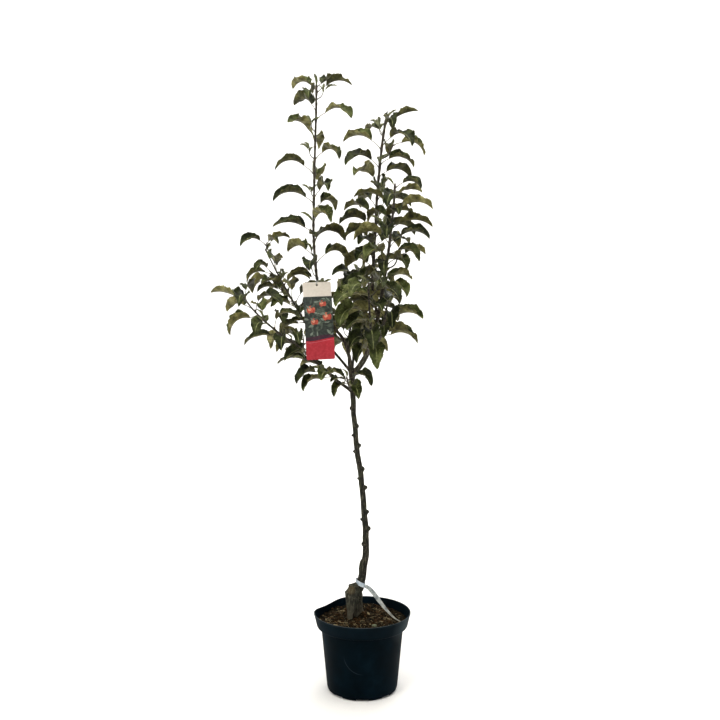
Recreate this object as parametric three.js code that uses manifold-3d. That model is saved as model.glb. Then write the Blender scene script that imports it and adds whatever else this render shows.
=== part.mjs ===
// A young dwarf apple tree, bud-grafted on its rootstock, in a round ten litre nursery pot.
// Millimetres, +Z up. The origin is the middle of the pot's flat underside, +X is the tree's
// right seen from the front, and -Y is the front.
//
// The trunk and boughs are tapering tubes along smooth curves. Each leafy shoot is one solid:
// a stem that carries on from its bough, side twigs, leaf stalks and folded leaves, placed by
// a seeded rule. The rule drops a leaf that would touch a limb, the card or another leaf.

import * as THREE from "three";
import { mergeVertices } from "three/addons/utils/BufferGeometryUtils.js";
import Module from "manifold-3d";

const wasm = await Module();
wasm.setup();

const DEGREE = Math.PI / 180;
const GAP = 0.3; // clearance between touching pieces

// ---------------------------------------------------------------- driving dimensions

const POT = {
  height: 225,
  rimRadius: 137.5,
  collarFootRadius: 129, // outside of the collar at its lower edge
  collarFoot: 186, // height of the collar's lower edge
  shoulderRadius: 117, // body just under the collar
  baseRadius: 100.5, // body above the rounded foot
  footRadius: 92,
  footRounding: 12,
  footRingWidth: 9,
  wall: 2.2,
  baseLift: 6.5, // the base plate stands this far off the ground, on its foot ring
  bossRadius: 24, // flat boss in the middle of the underside
  notches: 8,
  notchWidth: 35,
  facets: 36,
};

// The rim is pressed in a little at the back left.
const RIM_DENT = { azimuth: 146, halfWidth: 38, inward: 12, drop: 5 };

const SOIL = { top: 206.7, edge: 201, flatRadius: 62, clearance: 0.4 };

// x, y, z and radius down the middle of each limb.
const ROOTSTOCK = [
  [-22, 8, 207, 19],
  [-22.5, 9, 216, 17.5],
  [-23.5, 10, 232, 19],
  [-24, 11, 256, 22],
  [-24, 11, 276, 23],
  [-27, 11, 290, 20],
  [-29, 11, 298.5, 13.5],
];
const ROOT_FLARE = { lobes: 3, swell: 0.2, height: 40, turn: 250 };

const SCION = [
  [-16, 11, 272, 14],
  [-7, 11, 298, 12.6],
  [1, 11, 322, 11.4],
  [5, 10, 357, 10.2],
  [8, 9, 407, 8.7],
  [10, 8, 460, 8.2],
  [6, 7, 509, 7.6],
  [3, 6, 560, 7.0],
  [-6, 4, 642, 6.7],
  [-15, 2, 712, 6.3],
  [-23, 0, 790, 6.0],
  [-27, 0, 857, 6.3],
  [-29.5, 0, 918, 7.6],
];
const PRUNED_SPURS = { count: 11, lowest: 392, spacing: 45, length: 6, radius: 4.2 };

const BOUGHS = {
  leader: [
    [-29.7, 0, 919, 6.2],
    [-37, 2, 955, 5.6],
    [-50, 4, 997, 5.0],
    [-74, 6, 1030, 4.6],
    [-98, 6, 1070, 4.3],
    [-114, 6, 1115, 4.1],
  ],
  bough_left_low: [
    [-26, 0, 854, 5.4],
    [-42, -5, 867, 4.8],
    [-58, -10, 879, 4.4],
    [-76, -16, 894, 4.2],
  ],
  bough_left_high: [
    [-30, 0, 908, 4.8],
    [-50, 9, 932, 4.2],
    [-72, 18, 957, 3.8],
    [-96, 29, 984, 3.4],
  ],
  bough_right: [
    [-29, 0, 905, 5.6],
    [-8, -2, 932, 5.2],
    [10, -4, 962, 5.0],
    [25, -7, 1000, 4.8],
    [38, -12, 1040, 4.7],
    [45, -15, 1078, 4.5],
    [52, -23, 1122, 4.2],
  ],
  bough_right_inner: [
    [42, -13, 1058, 4.6],
    [36, 2, 1096, 4.5],
    [29, 16, 1132, 4.5],
    [28, 30, 1170, 4.4],
  ],
  bough_centre: [
    [-29, 1, 910, 4.2],
    [-26, 16, 934, 3.8],
    [-24, 34, 960, 3.4],
  ],
  bough_front: [
    [-29, 0, 888, 4.6],
    [-16, -22, 912, 4.1],
    [2, -48, 938, 3.8],
    [16, -72, 966, 3.6],
  ],
  bough_back: [
    [-28, 1, 876, 4.4],
    [-34, 32, 902, 3.9],
    [-38, 66, 932, 3.6],
    [-38, 98, 966, 3.3],
  ],
  bough_right_low: [
    [14, -5, 970, 4.2],
    [28, -18, 984, 3.6],
    [44, -32, 1000, 3.3],
  ],
};

// One leafy shoot for each bough's tip, and one short spur on the trunk. path carries on from
// the limb. turn is where the first leaf points, counted round the stem from +X, and step the
// turn from one leaf to the next. Twigs leave the stem at these shares of its length.
const SHOOTS = {
  foliage_leader: {
    path: [[-124, 6, 1163], [-131, 6, 1234], [-134, 5, 1308], [-132, 4, 1400], [-129, 2, 1513],
      [-125, 0, 1625], [-124, 0, 1692]],
    radii: [3.9, 2.6], leaves: 20, first: 0.2, last: 0.97, turn: 260, step: 126,
    leafLength: 91, tipSize: 0.95, twigs: [], seed: 6591,
  },
  foliage_left_low: {
    path: [[-97, -25, 915], [-130, -38, 945], [-159, -50, 973], [-191, -60, 999],
      [-224, -70, 1024], [-260, -82, 1056], [-291, -92, 1088], [-316, -101, 1122]],
    radii: [3.9, 1.7], leaves: 25, first: 0.03, last: 0.97, turn: 205, step: 144,
    leafLength: 84, tipSize: 1.05, twigs: [[0.36, 80, 40]], seed: 90749,
  },
  foliage_left_high: {
    path: [[-120, 41, 1007], [-160, 58, 1044], [-181, 68, 1078], [-199, 76, 1108],
      [-221, 86, 1146], [-245, 95, 1190], [-273, 103, 1245]],
    radii: [3.2, 1.6], leaves: 18, first: 0.08, last: 0.93, turn: 295, step: 144,
    leafLength: 82, tipSize: 0.7, seed: 80176,
    twigs: [[0.42, 20, 40], [0.64, 190, 23], [0.78, 155, 39], [0.99, 285, 24]],
  },
  foliage_right_inner: {
    path: [[31, 42, 1214], [34, 54, 1270], [38, 62, 1329], [41, 70, 1392], [47, 77, 1460],
      [56, 82, 1545], [66, 86, 1610]],
    radii: [4.3, 3.2], leaves: 24, first: 0.03, last: 0.97, turn: 325, step: 162,
    leafLength: 98, tipSize: 0.85, twigs: [[0.78, 350, 50]], seed: 7847,
  },
  foliage_right_outer: {
    path: [[58, -30, 1153], [66, -38, 1208], [73, -45, 1262], [78, -50, 1306], [84, -55, 1367],
      [87, -60, 1420]],
    radii: [4.1, 2.6], leaves: 24, first: 0.05, last: 0.97, turn: 185, step: 132,
    leafLength: 90, tipSize: 0.75, twigs: [[0.3, 340, 50]], seed: 58469,
  },
  foliage_right_low: {
    path: [[54, -46, 1024], [60, -60, 1058], [66, -70, 1094]],
    radii: [3.2, 2.0], leaves: 15, first: 0.03, last: 0.96, turn: 70, step: 150,
    leafLength: 94, tipSize: 0.9, twigs: [], seed: 1626,
  },
  foliage_front: {
    path: [[22, -98, 1000], [22, -122, 1046], [18, -140, 1100], [16, -150, 1158]],
    radii: [3.4, 1.9], leaves: 17, first: 0.12, last: 0.96, turn: 155, step: 144,
    leafLength: 92, tipSize: 0.9, twigs: [], seed: 81931,
  },
  foliage_centre: {
    path: [[-22, 54, 990], [-16, 74, 1034], [-10, 92, 1086], [-6, 106, 1150]],
    radii: [3.2, 1.8], leaves: 20, first: 0.08, last: 0.96, turn: 10, step: 126,
    leafLength: 94, tipSize: 0.9, twigs: [], seed: 13100,
  },
  foliage_back: {
    path: [[-36, 130, 1006], [-30, 160, 1058], [-22, 182, 1116], [-14, 198, 1182]],
    radii: [3.1, 1.8], leaves: 19, first: 0.05, last: 0.96, turn: 145, step: 156,
    leafLength: 86, tipSize: 0.9, twigs: [], seed: 57818,
  },
  foliage_trunk: {
    from: [-28, -1, 856],
    path: [[-36, -16, 872], [-42, -30, 896]],
    radii: [2.6, 1.8], leaves: 9, first: 0.45, last: 0.97, turn: 140, step: 156,
    leafLength: 76, tipSize: 1, twigs: [], seed: 19882,
  },
};

const LEAF = {
  usual: 88, // length of a usual leaf, whose stalk is this long:
  stalk: 31,
  stalkRadius: 1.15,
  bend: 0.55, // the share of the stalk before its bend
  unbent: 0.6, // how much of its lean along the stem the stalk keeps past the bend
  rest: 0.5, // and its share past the bend
  rise: [0.12, 0.1], // the stalk's turn upwards before and past its bend
  widthShare: 0.56, // of the leaf's length, laid flat
  thickness: 1.8, // at the midrib; the edges are thin
  fold: 44, // degrees that each half is folded up
  lift: 20, // degrees above half its stalk's slope at the start of the blade
  droop: 92, // degrees that the blade arches down from base to tip
  stations: [0, 0.2, 0.5, 0.8, 1],
  tuft: 3, // young leaves round each shoot's tip
};

// How widely one leaf differs from the next, as the full range of each share or angle in degrees.
const SPREAD = {
  stalk: 0.4,
  length: 0.28,
  width: 0.24,
  heading: 30,
  lift: 16,
  droop: 0.5,
  sweep: 44, // how far the blade curves to one side
  roll: 50,
  fold: 26,
};

// How each kind of leaf differs from the usual one. upright is how far its stalk leans along
// the stem. The rest are shares of the usual size or angle.
const GROWN = { stalk: 1, upright: 0.85, width: 1, lift: 1, droop: 1, fold: 1 };
const YOUNG = { stalk: 0.5, upright: 2.2, width: 0.75, lift: 1.7, droop: 0.6, fold: 1.3 };
const LEADING = { stalk: 0.8, upright: 0.7, width: 0.85, lift: 1, droop: 0.4, fold: 1 };

// How far apart the growth rule keeps things.
const CLEAR = { leaf: 12, sameShoot: 9, limb: 7, farthest: 24 };
const TRY_TURNS = [0, 28, -28, 55, -55, 85, -85];

const CARD = {
  width: 78,
  height: 212,
  thickness: 0.9,
  corner: 4,
  centre: [-119, -40, 1056],
  roll: 1.8, // degrees, clockwise seen from behind
  pitch: 9, // its foot stands forward, over the shoot behind it
  yaw: 10,
  holeRadius: 3,
  holeDrop: 8, // hole's centre below the top edge
  bow: 5, // how far the middle of the card stands forward
  bare: { behind: 12, before: 160, beside: 4 }, // no leaf comes this near it
};
const CARD_TIE = {
  radius: 0.8,
  sides: 5,
  steps: 27,
  share: 0.165, // of the leader shoot's length, where the tie goes round it
  slack: 1.04, // room between the tie and the stem
  raise: 1.35, // the strand lies this far above the middle of the hole
};

const BAND = {
  width: 12,
  thickness: 0.9,
  centre: [-4.5, 11, 305],
  radius: 13.6,
  fall: 7, // how much lower its right side hangs
  tail: [[9, 6, 297], [20.5, -4, 293], [37.5, -10, 275], [50, -14, 258], [64, -18, 241], [78, -21, 226],
    [93, -23, 212.4], [108, -25, 204.2]],
  tipWidth: 3,
};

// Sides round each limb, and steps from one of its stations to the next.
const FACETS = {
  rootstock: 12,
  trunk: [9, 2],
  bough: [5, 2],
  stem: [4, 2],
  twig: [3, 2],
};

const COLOURS = {
  pot: 0x12171c,
  soil: 0x3a2a1e,
  bark: 0x45423a,
  twig: 0x4a3f38,
  leaf: 0x3f4a2a,
  band: 0xb4bcc0,
  card: 0xc8b9a8,
  tie: 0x8a8f8c,
};

// ---------------------------------------------------------------- solids

function materialOf(colour, roughness, metalness = 0) {
  return new THREE.MeshStandardMaterial({ color: colour, roughness, metalness });
}

const MATERIALS = {
  pot: materialOf(COLOURS.pot, 0.5),
  soil: materialOf(COLOURS.soil, 0.95),
  bark: materialOf(COLOURS.bark, 0.85),
  twig: materialOf(COLOURS.twig, 0.8),
  leaf: materialOf(COLOURS.leaf, 0.55),
  band: materialOf(COLOURS.band, 0.5),
  card: materialOf(COLOURS.card, 0.4),
  tie: materialOf(COLOURS.tie, 0.6),
};

// A closed three.js geometry as a manifold-3d solid.
function solidOf(geometry) {
  const bare = new THREE.BufferGeometry().setAttribute("position", geometry.getAttribute("position"));
  if (geometry.index) bare.setIndex(geometry.index);
  const merged = mergeVertices(bare, 1e-3);
  return new wasm.Manifold(
    new wasm.Mesh({
      numProp: 3,
      vertProperties: merged.attributes.position.array,
      triVerts: new Uint32Array(merged.index.array),
    }),
  );
}

function geometryOf(solid) {
  const { numProp, numVert, vertProperties, triVerts } = solid.getMesh();
  const positions = new Float32Array(numVert * 3);
  for (let i = 0; i < numVert; i += 1) {
    positions.set(vertProperties.subarray(i * numProp, i * numProp + 3), i * 3);
  }
  const geometry = new THREE.BufferGeometry();
  geometry.setAttribute("position", new THREE.BufferAttribute(positions, 3));
  geometry.setIndex(new THREE.BufferAttribute(triVerts, 1));
  geometry.computeVertexNormals();
  return geometry;
}

function joined(solids) {
  return wasm.Manifold.union(solids);
}

function largestBody(solid) {
  return solid.decompose().sort((a, b) => b.volume() - a.volume())[0];
}

// A closed surface through rings of points, each ring counter-clockwise seen from its end.
function loft(rings, closed = false) {
  const sides = rings[0].length;
  const positions = rings.flat().flatMap((p) => [p.x, p.y, p.z]);
  const index = [];
  const spans = closed ? rings.length : rings.length - 1;
  for (let i = 0; i < spans; i += 1) {
    const next = (i + 1) % rings.length;
    for (let j = 0; j < sides; j += 1) {
      const k = (j + 1) % sides;
      const [a, b, c, d] = [i * sides + j, i * sides + k, next * sides + k, next * sides + j];
      index.push(a, b, c, a, c, d);
    }
  }
  if (!closed) {
    const last = (rings.length - 1) * sides;
    for (let j = 1; j < sides - 1; j += 1) {
      index.push(0, j + 1, j, last, last + j, last + j + 1);
    }
  }
  const geometry = new THREE.BufferGeometry();
  geometry.setAttribute("position", new THREE.Float32BufferAttribute(positions, 3));
  geometry.setIndex(index);
  return geometry;
}

// Two directions square to a stem: the first leans towards +X.
function sideAxes(along) {
  const first = new THREE.Vector3(1, 0, 0).addScaledVector(along, -along.x).normalize();
  return [first, new THREE.Vector3().crossVectors(along, first)];
}

function ringAt(centre, along, radiusAt, sides) {
  const [first, second] = sideAxes(along);
  return Array.from({ length: sides }, (_, j) => {
    const angle = (j / sides) * 2 * Math.PI;
    return centre
      .clone()
      .addScaledVector(first, radiusAt(angle) * Math.cos(angle))
      .addScaledVector(second, radiusAt(angle) * Math.sin(angle));
  });
}

// A limb from its list of [x, y, z, radius]: where it is and how thick at any share of its length.
function limbOf(stations) {
  const curve = new THREE.CatmullRomCurve3(
    stations.map(([x, y, z]) => new THREE.Vector3(x, y, z)),
    false,
    "catmullrom",
    0.5,
  );
  const radiusAt = (share) => {
    const place = Math.min(share, 1) * (stations.length - 1);
    const i = Math.min(Math.floor(place), stations.length - 2);
    return THREE.MathUtils.lerp(stations[i][3], stations[i + 1][3], place - i);
  };
  return { curve, radiusAt, spans: stations.length - 1 };
}

// A limb's solid. extra makes it that much thicker all round and longer at both ends.
function limbSolid(limb, [sides, stepsPerSpan], extra = 0) {
  const steps = limb.spans * stepsPerSpan;
  const rings = Array.from({ length: steps + 1 }, (_, i) => {
    const share = i / steps;
    const radius = limb.radiusAt(share) + extra;
    const along = limb.curve.getTangent(share);
    const beyond = extra * (Number(i === steps) - Number(i === 0));
    return ringAt(limb.curve.getPoint(share).addScaledVector(along, beyond), along, () => radius, sides);
  });
  return solidOf(loft(rings));
}

// ---------------------------------------------------------------- pot and soil

function dentedRim(x, y, z) {
  const azimuth = Math.atan2(y, x) / DEGREE;
  const off = Math.abs(((azimuth - RIM_DENT.azimuth + 540) % 360) - 180) / RIM_DENT.halfWidth;
  const height = (z - POT.collarFoot) / (POT.height - POT.collarFoot);
  if (off >= 1 || height <= 0) return [x, y, z];
  const share = Math.cos((off * Math.PI) / 2) ** 2 * height;
  const radius = Math.hypot(x, y);
  const pulled = (radius - RIM_DENT.inward * share) / radius;
  return [x * pulled, y * pulled, z - RIM_DENT.drop * share];
}

// Turns a closed profile of [radius, height] about +Z, and presses in the rim.
function turned(profile, facets) {
  const outline = profile.map(([radius, height]) => new THREE.Vector2(radius, height));
  const lathe = new THREE.LatheGeometry([...outline, outline[0]], facets).rotateX(Math.PI / 2);
  const positions = lathe.attributes.position;
  for (let i = 0; i < positions.count; i += 1) {
    positions.setXYZ(i, ...dentedRim(positions.getX(i), positions.getY(i), positions.getZ(i)));
  }
  return lathe;
}

function innerRadiusAt(height) {
  const rise = (height - POT.footRounding) / (POT.collarFoot - POT.footRounding);
  return THREE.MathUtils.lerp(POT.baseRadius, POT.shoulderRadius, rise) - POT.wall;
}

function potSolid() {
  const { wall, height, baseLift } = POT;
  const profile = [
    [0, 0],
    [POT.bossRadius, 0],
    [POT.bossRadius + 4, baseLift],
    [POT.footRadius - POT.footRingWidth, baseLift],
    [POT.footRadius - POT.footRingWidth, 0],
    [POT.footRadius, 0],
    [POT.footRadius + 6, 3.6],
    [POT.baseRadius, POT.footRounding],
    [POT.shoulderRadius, POT.collarFoot],
    [POT.collarFootRadius - 2, POT.collarFoot],
    [POT.collarFootRadius, POT.collarFoot + 2.5],
    [POT.rimRadius - 1.2, height - 5],
    [POT.rimRadius, height - 3.5],
    [POT.rimRadius, height],
    [POT.rimRadius - wall - 0.6, height],
    [POT.collarFootRadius - wall, POT.collarFoot + wall + 2],
    [POT.shoulderRadius - wall, POT.collarFoot + wall - 1],
    [POT.baseRadius - wall, POT.footRounding + 1],
    [POT.footRadius - 1, baseLift + wall],
    [0, baseLift + wall],
  ];
  const notchDepth = 30;
  const notches = Array.from({ length: POT.notches }, (_, i) => {
    const notch = new THREE.BoxGeometry(notchDepth, POT.notchWidth, baseLift * 2);
    notch.translate(POT.footRadius, 0, -0.02).rotateZ((i / POT.notches) * 2 * Math.PI - Math.PI / 2);
    return solidOf(notch);
  });
  return solidOf(turned(profile, POT.facets)).subtract(joined(notches));
}

// The soil fills the pot to a little below its rim and clears the wall and the collar's ledge.
function soilSolid() {
  const bottom = POT.baseLift + POT.wall + GAP;
  const shoulder = POT.shoulderRadius - POT.wall - SOIL.clearance;
  return solidOf(
    turned(
      [
        [0, bottom],
        [POT.footRadius - 3, bottom],
        [innerRadiusAt(POT.footRounding + 4) - SOIL.clearance, POT.footRounding + 4],
        [shoulder - 0.5, POT.collarFoot + 2],
        [POT.collarFootRadius - POT.wall - 1.5, POT.collarFoot + 5],
        [POT.collarFootRadius - POT.wall, SOIL.edge],
        [SOIL.flatRadius, SOIL.top],
        [0, SOIL.top],
      ],
      POT.facets,
    ),
  );
}

// ---------------------------------------------------------------- trunk and boughs

function rootstockSolid() {
  const limb = limbOf(ROOTSTOCK);
  const steps = limb.spans + 3;
  const level = new THREE.Vector3(0, 0, 1);
  const rings = Array.from({ length: steps + 1 }, (_, i) => {
    const centre = limb.curve.getPoint(i / steps);
    const low = Math.max(0, 1 - (centre.z - ROOTSTOCK[0][2]) / ROOT_FLARE.height);
    const lobe = (angle) =>
      1 + ROOT_FLARE.swell * (0.4 + low) * Math.cos(ROOT_FLARE.lobes * (angle - ROOT_FLARE.turn * DEGREE));
    return ringAt(centre, level, (angle) => limb.radiusAt(i / steps) * lobe(angle), FACETS.rootstock);
  });
  return solidOf(loft(rings));
}

// The swollen stumps where side shoots were cut off the stem.
function prunedSpurs(scion) {
  return Array.from({ length: PRUNED_SPURS.count }, (_, i) => {
    const height = PRUNED_SPURS.lowest + i * PRUNED_SPURS.spacing;
    let share = 0;
    while (scion.curve.getPoint(share).z < height) share += 0.002;
    const centre = scion.curve.getPoint(share);
    const azimuth = (i % 2 ? 180 : 0) + (i % 3) * 22 - 22;
    const out = new THREE.Vector3(Math.cos(azimuth * DEGREE), Math.sin(azimuth * DEGREE), 0.35);
    const end = scion.radiusAt(share) + PRUNED_SPURS.length;
    const along = out.clone().normalize();
    const rings = [[0, 1.25], [1, 0.8]].map(([reach, swell]) =>
      ringAt(centre.clone().addScaledVector(out, end * reach), along, () => PRUNED_SPURS.radius * swell, 4),
    );
    return solidOf(loft(rings));
  });
}

const scion = limbOf(SCION);
const boughs = Object.fromEntries(Object.entries(BOUGHS).map(([name, list]) => [name, limbOf(list)]));

function trunkSolid() {
  return joined([rootstockSolid(), limbSolid(scion, FACETS.trunk), ...prunedSpurs(scion)]);
}

// Each bough starts inside the limb that it leaves and is cut clear of every limb before it.
function boughSolids() {
  const taken = [limbSolid(scion, FACETS.trunk, GAP)];
  return Object.fromEntries(
    Object.entries(boughs).map(([name, limb]) => {
      const cut = limbSolid(limb, FACETS.bough).subtract(joined(taken));
      taken.push(limbSolid(limb, FACETS.bough, GAP));
      return [name, largestBody(cut)];
    }),
  );
}

// ---------------------------------------------------------------- growth rule

// Repeatable draws from 0 to 1.
function drawsFrom(seed) {
  let state = seed * 7919;
  return () => {
    state = (state * 48271) % 2147483647;
    return state / 2147483647;
  };
}

// Where a leaf stands and how it is held. The stalk leaves the stem at a slant, and the blade
// goes on from its end.
function leafAt(stem, share, turn, size, age, draw) {
  const root = stem.curve.getPoint(share);
  const along = stem.curve.getTangent(share);
  const [first, second] = sideAxes(along);
  const out = first
    .clone()
    .multiplyScalar(Math.cos(turn * DEGREE))
    .addScaledVector(second, Math.sin(turn * DEGREE));
  const vary = (i, spread) => spread * (draw[i] - 0.5);
  const stalk = LEAF.stalk * (1 + vary(0, SPREAD.stalk)) * (size / LEAF.usual) * age.stalk;
  const start = out.clone().addScaledVector(along, age.upright).normalize();
  start.z += LEAF.rise[0];
  const middle = root.clone().addScaledVector(start, stalk * LEAF.bend);
  const onward = out.clone().addScaledVector(along, age.upright * LEAF.unbent).normalize();
  onward.z += LEAF.rise[1];
  const base = middle.clone().addScaledVector(onward, stalk * LEAF.rest);
  const rise = Math.asin(onward.z / onward.length());
  return {
    root,
    middle,
    base,
    length: size * (1 + vary(1, SPREAD.length)),
    width: size * LEAF.widthShare * (1 + vary(2, SPREAD.width)) * age.width,
    heading: Math.atan2(onward.y, onward.x) + vary(3, SPREAD.heading) * DEGREE,
    lift: 0.5 * rise + (LEAF.lift * age.lift + vary(4, SPREAD.lift)) * DEGREE,
    droop: LEAF.droop * age.droop * (1 + vary(5, SPREAD.droop)) * DEGREE,
    sweep: vary(6, SPREAD.sweep) * DEGREE,
    roll: vary(7, SPREAD.roll) * DEGREE,
    fold: (LEAF.fold + vary(8, SPREAD.fold)) * age.fold * DEGREE,
    wave: [draw[9] * 2 * Math.PI, draw[3] * 2 * Math.PI],
  };
}

const MIDRIB_STEPS = 20;

// Points along the midrib, each with the blade's own side and upper directions.
function midribOf(leaf) {
  const point = leaf.base.clone();
  const rib = [];
  for (let i = 0; i <= MIDRIB_STEPS; i += 1) {
    const share = i / MIDRIB_STEPS;
    const lift = leaf.lift - leaf.droop * share;
    const heading = leaf.heading + leaf.sweep * share;
    const along = new THREE.Vector3(
      Math.cos(lift) * Math.cos(heading),
      Math.cos(lift) * Math.sin(heading),
      Math.sin(lift),
    );
    const level = new THREE.Vector3(-Math.sin(heading), Math.cos(heading), 0);
    const upper = new THREE.Vector3().crossVectors(along, level);
    const side = level.clone().multiplyScalar(Math.cos(leaf.roll));
    side.addScaledVector(upper, Math.sin(leaf.roll));
    rib.push({ point: point.clone(), side, upper: new THREE.Vector3().crossVectors(along, side) });
    point.addScaledVector(along, leaf.length / MIDRIB_STEPS);
  }
  return rib;
}

function halfWidthAt(share) {
  return 0.5 * Math.sin(Math.PI * share ** 0.85) ** 0.75 * (1 - 0.15 * share);
}

// A point of the blade: share runs from base to tip, across from -1 at one edge to 1 at the other.
function bladePoint(leaf, rib, share, across) {
  const { point, side, upper } = rib[Math.round(share * MIDRIB_STEPS)];
  const edge = across < 0 ? 0 : 1;
  const fold = leaf.fold * (1 - 0.25 * share) + 0.2 * Math.sin(8.2 * share + leaf.wave[edge]);
  const reach = share > 0 && share < 1 ? Math.abs(across) * leaf.width * halfWidthAt(share) : 0;
  return point
    .clone()
    .addScaledVector(side, Math.sign(across) * reach * Math.cos(fold))
    .addScaledVector(upper, reach * Math.sin(fold));
}

const PROBES = [0, 0.1, 0.25, 0.4, 0.5, 0.65, 0.8, 0.9, 1].flatMap((share) =>
  (share === 0 || share === 1 ? [0] : [-1, -0.5, 0, 0.5, 1]).map((across) => [share, across]),
);

// Everything that growth keeps clear of, as balls of { x, y, z, radius, shoot }.
const obstacles = [];

function addLimbObstacles(limb, shoot) {
  const steps = Math.ceil(limb.curve.getLength() / 8);
  for (let i = 0; i <= steps; i += 1) {
    const { x, y, z } = limb.curve.getPoint(i / steps);
    obstacles.push({ x, y, z, radius: limb.radiusAt(i / steps) + CLEAR.limb, shoot });
  }
}

function isClear(points, shoot, besideStem) {
  const reach = new THREE.Box3().setFromPoints(points).expandByScalar(CLEAR.farthest);
  const near = obstacles.filter(
    (o) => reach.containsPoint(o) && (o.leaf || o.shoot !== shoot || !besideStem),
  );
  return points.every((p) =>
    near.every((o) => {
      const radius = o.leaf ? (o.shoot === shoot ? CLEAR.sameShoot : CLEAR.leaf) : o.radius;
      const [dx, dy, dz] = [p.x - o.x, p.y - o.y, p.z - o.z];
      return dx * dx + dy * dy + dz * dz > radius * radius;
    }),
  );
}

// Whether a point would hide the card or touch it.
function isAtCard(point) {
  const { x, y, z } = point.clone().applyMatrix4(ontoCard);
  const { behind, before, beside } = CARD.bare;
  return (
    y < behind &&
    y > -before &&
    Math.abs(x) < CARD.width / 2 + beside &&
    Math.abs(z) < CARD.height / 2 + beside
  );
}

// Sets a leaf at this place if some nearby turn of it is clear, and skips it otherwise. Young
// leaves may stand close beside their own stem.
function setLeaf(stem, share, turn, size, age, shoot, draw, leaves) {
  const draws = Array.from({ length: 10 }, draw);
  for (const extra of TRY_TURNS) {
    const leaf = leafAt(stem, share, turn + extra, size, age, draws);
    const rib = midribOf(leaf);
    const points = [leaf.middle, ...PROBES.map(([s, across]) => bladePoint(leaf, rib, s, across))];
    if (!points.some(isAtCard) && isClear(points, shoot, age === YOUNG)) {
      points.forEach(({ x, y, z }) => obstacles.push({ x, y, z, shoot, leaf: true }));
      leaves.push({ ...leaf, rib });
      return;
    }
  }
}

function taperedStem(path, [from, to]) {
  const last = path.length - 1;
  return limbOf(path.map(([x, y, z], i) => [x, y, z, from + ((to - from) * i) / last]));
}

function twigOn(stem, [share, turn, length]) {
  const root = stem.curve.getPoint(share);
  const along = stem.curve.getTangent(share);
  const [first, second] = sideAxes(along);
  const out = first
    .clone()
    .multiplyScalar(Math.cos(turn * DEGREE))
    .addScaledVector(second, Math.sin(turn * DEGREE));
  const half = root.clone().addScaledVector(out, length * 0.42).addScaledVector(along, length * 0.28);
  const end = half.clone().addScaledVector(out, length * 0.25);
  end.z += length * 0.55;
  const radius = stem.radiusAt(share);
  return taperedStem([root.toArray(), half.toArray(), end.toArray()], [radius * 0.62, radius * 0.45]);
}

// The stem and twigs of one shoot, which every leaf keeps clear of.
function growStem(name, spec, start) {
  const draw = drawsFrom(spec.seed);
  draw();
  const stem = taperedStem([start, ...spec.path], spec.radii);
  const twigs = spec.twigs.map((twig) => twigOn(stem, twig));
  [stem, ...twigs].forEach((limb) => addLimbObstacles(limb, name));
  return { stem, twigs, draw };
}

// Sets the leaves of one shoot. It ends in one leaf that points outwards and a tuft of young ones.
function growLeaves(name, spec, { stem, twigs, draw }) {
  const leaves = [];
  for (let i = 0; i < spec.leaves; i += 1) {
    const place = (i + 0.8 * (draw() - 0.5)) / (spec.leaves - 1);
    const share = spec.first + (spec.last - spec.first) * Math.min(Math.max(place, 0), 1);
    const size = spec.leafLength * (share > 0.86 ? spec.tipSize : 1);
    setLeaf(stem, share, spec.turn + spec.step * i + 24 * (draw() - 0.5), size, GROWN, name, draw, leaves);
  }
  twigs.forEach((twig) => {
    [0.55, 0.8, 0.97].forEach((share, i) => {
      setLeaf(twig, share, 40 + 130 * i + 40 * draw(), spec.leafLength * 0.85, GROWN, name, draw, leaves);
    });
  });
  const end = stem.curve.getTangent(1);
  const [first, second] = sideAxes(end);
  const outward = Math.atan2(end.x * second.x + end.y * second.y, end.x * first.x + end.y * first.y);
  setLeaf(stem, 0.98, outward / DEGREE, spec.leafLength * spec.tipSize, LEADING, name, draw, leaves);
  for (let i = 0; i < LEAF.tuft; i += 1) {
    setLeaf(stem, 0.985, spec.turn + 125 * i, spec.leafLength * 0.42, YOUNG, name, draw, leaves);
  }
  return { stem, twigs, leaves };
}

// The stalk's three-cornered rings: two corners above and one below, turned as the blade is.
function stalkRings(leaf) {
  const stops = [leaf.root, leaf.middle, leaf.base];
  return stops.map((centre, i) => {
    const along = stops[Math.min(i + 1, 2)].clone().sub(stops[Math.max(i - 1, 0)]).normalize();
    const side = leaf.rib[0].side.clone().addScaledVector(along, -leaf.rib[0].side.dot(along)).normalize();
    const up = new THREE.Vector3().crossVectors(along, side);
    const radius = LEAF.stalkRadius * (1.4 - 0.25 * i);
    return [[0.87, 0.5], [-0.87, 0.5], [0, -1]].map(([aside, above]) =>
      centre
        .clone()
        .addScaledVector(side, aside * radius)
        .addScaledVector(up, above * radius),
    );
  });
}

// The blade's sections between its two ends: left edge, midrib above, right edge, midrib below.
function bladeSections(leaf) {
  return LEAF.stations.slice(1, -1).map((share) => {
    const { point, upper } = leaf.rib[Math.round(share * MIDRIB_STEPS)];
    return {
      left: bladePoint(leaf, leaf.rib, share, 1),
      middle: point,
      right: bladePoint(leaf, leaf.rib, share, -1),
      under: point.clone().addScaledVector(upper, -LEAF.thickness),
    };
  });
}

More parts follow.
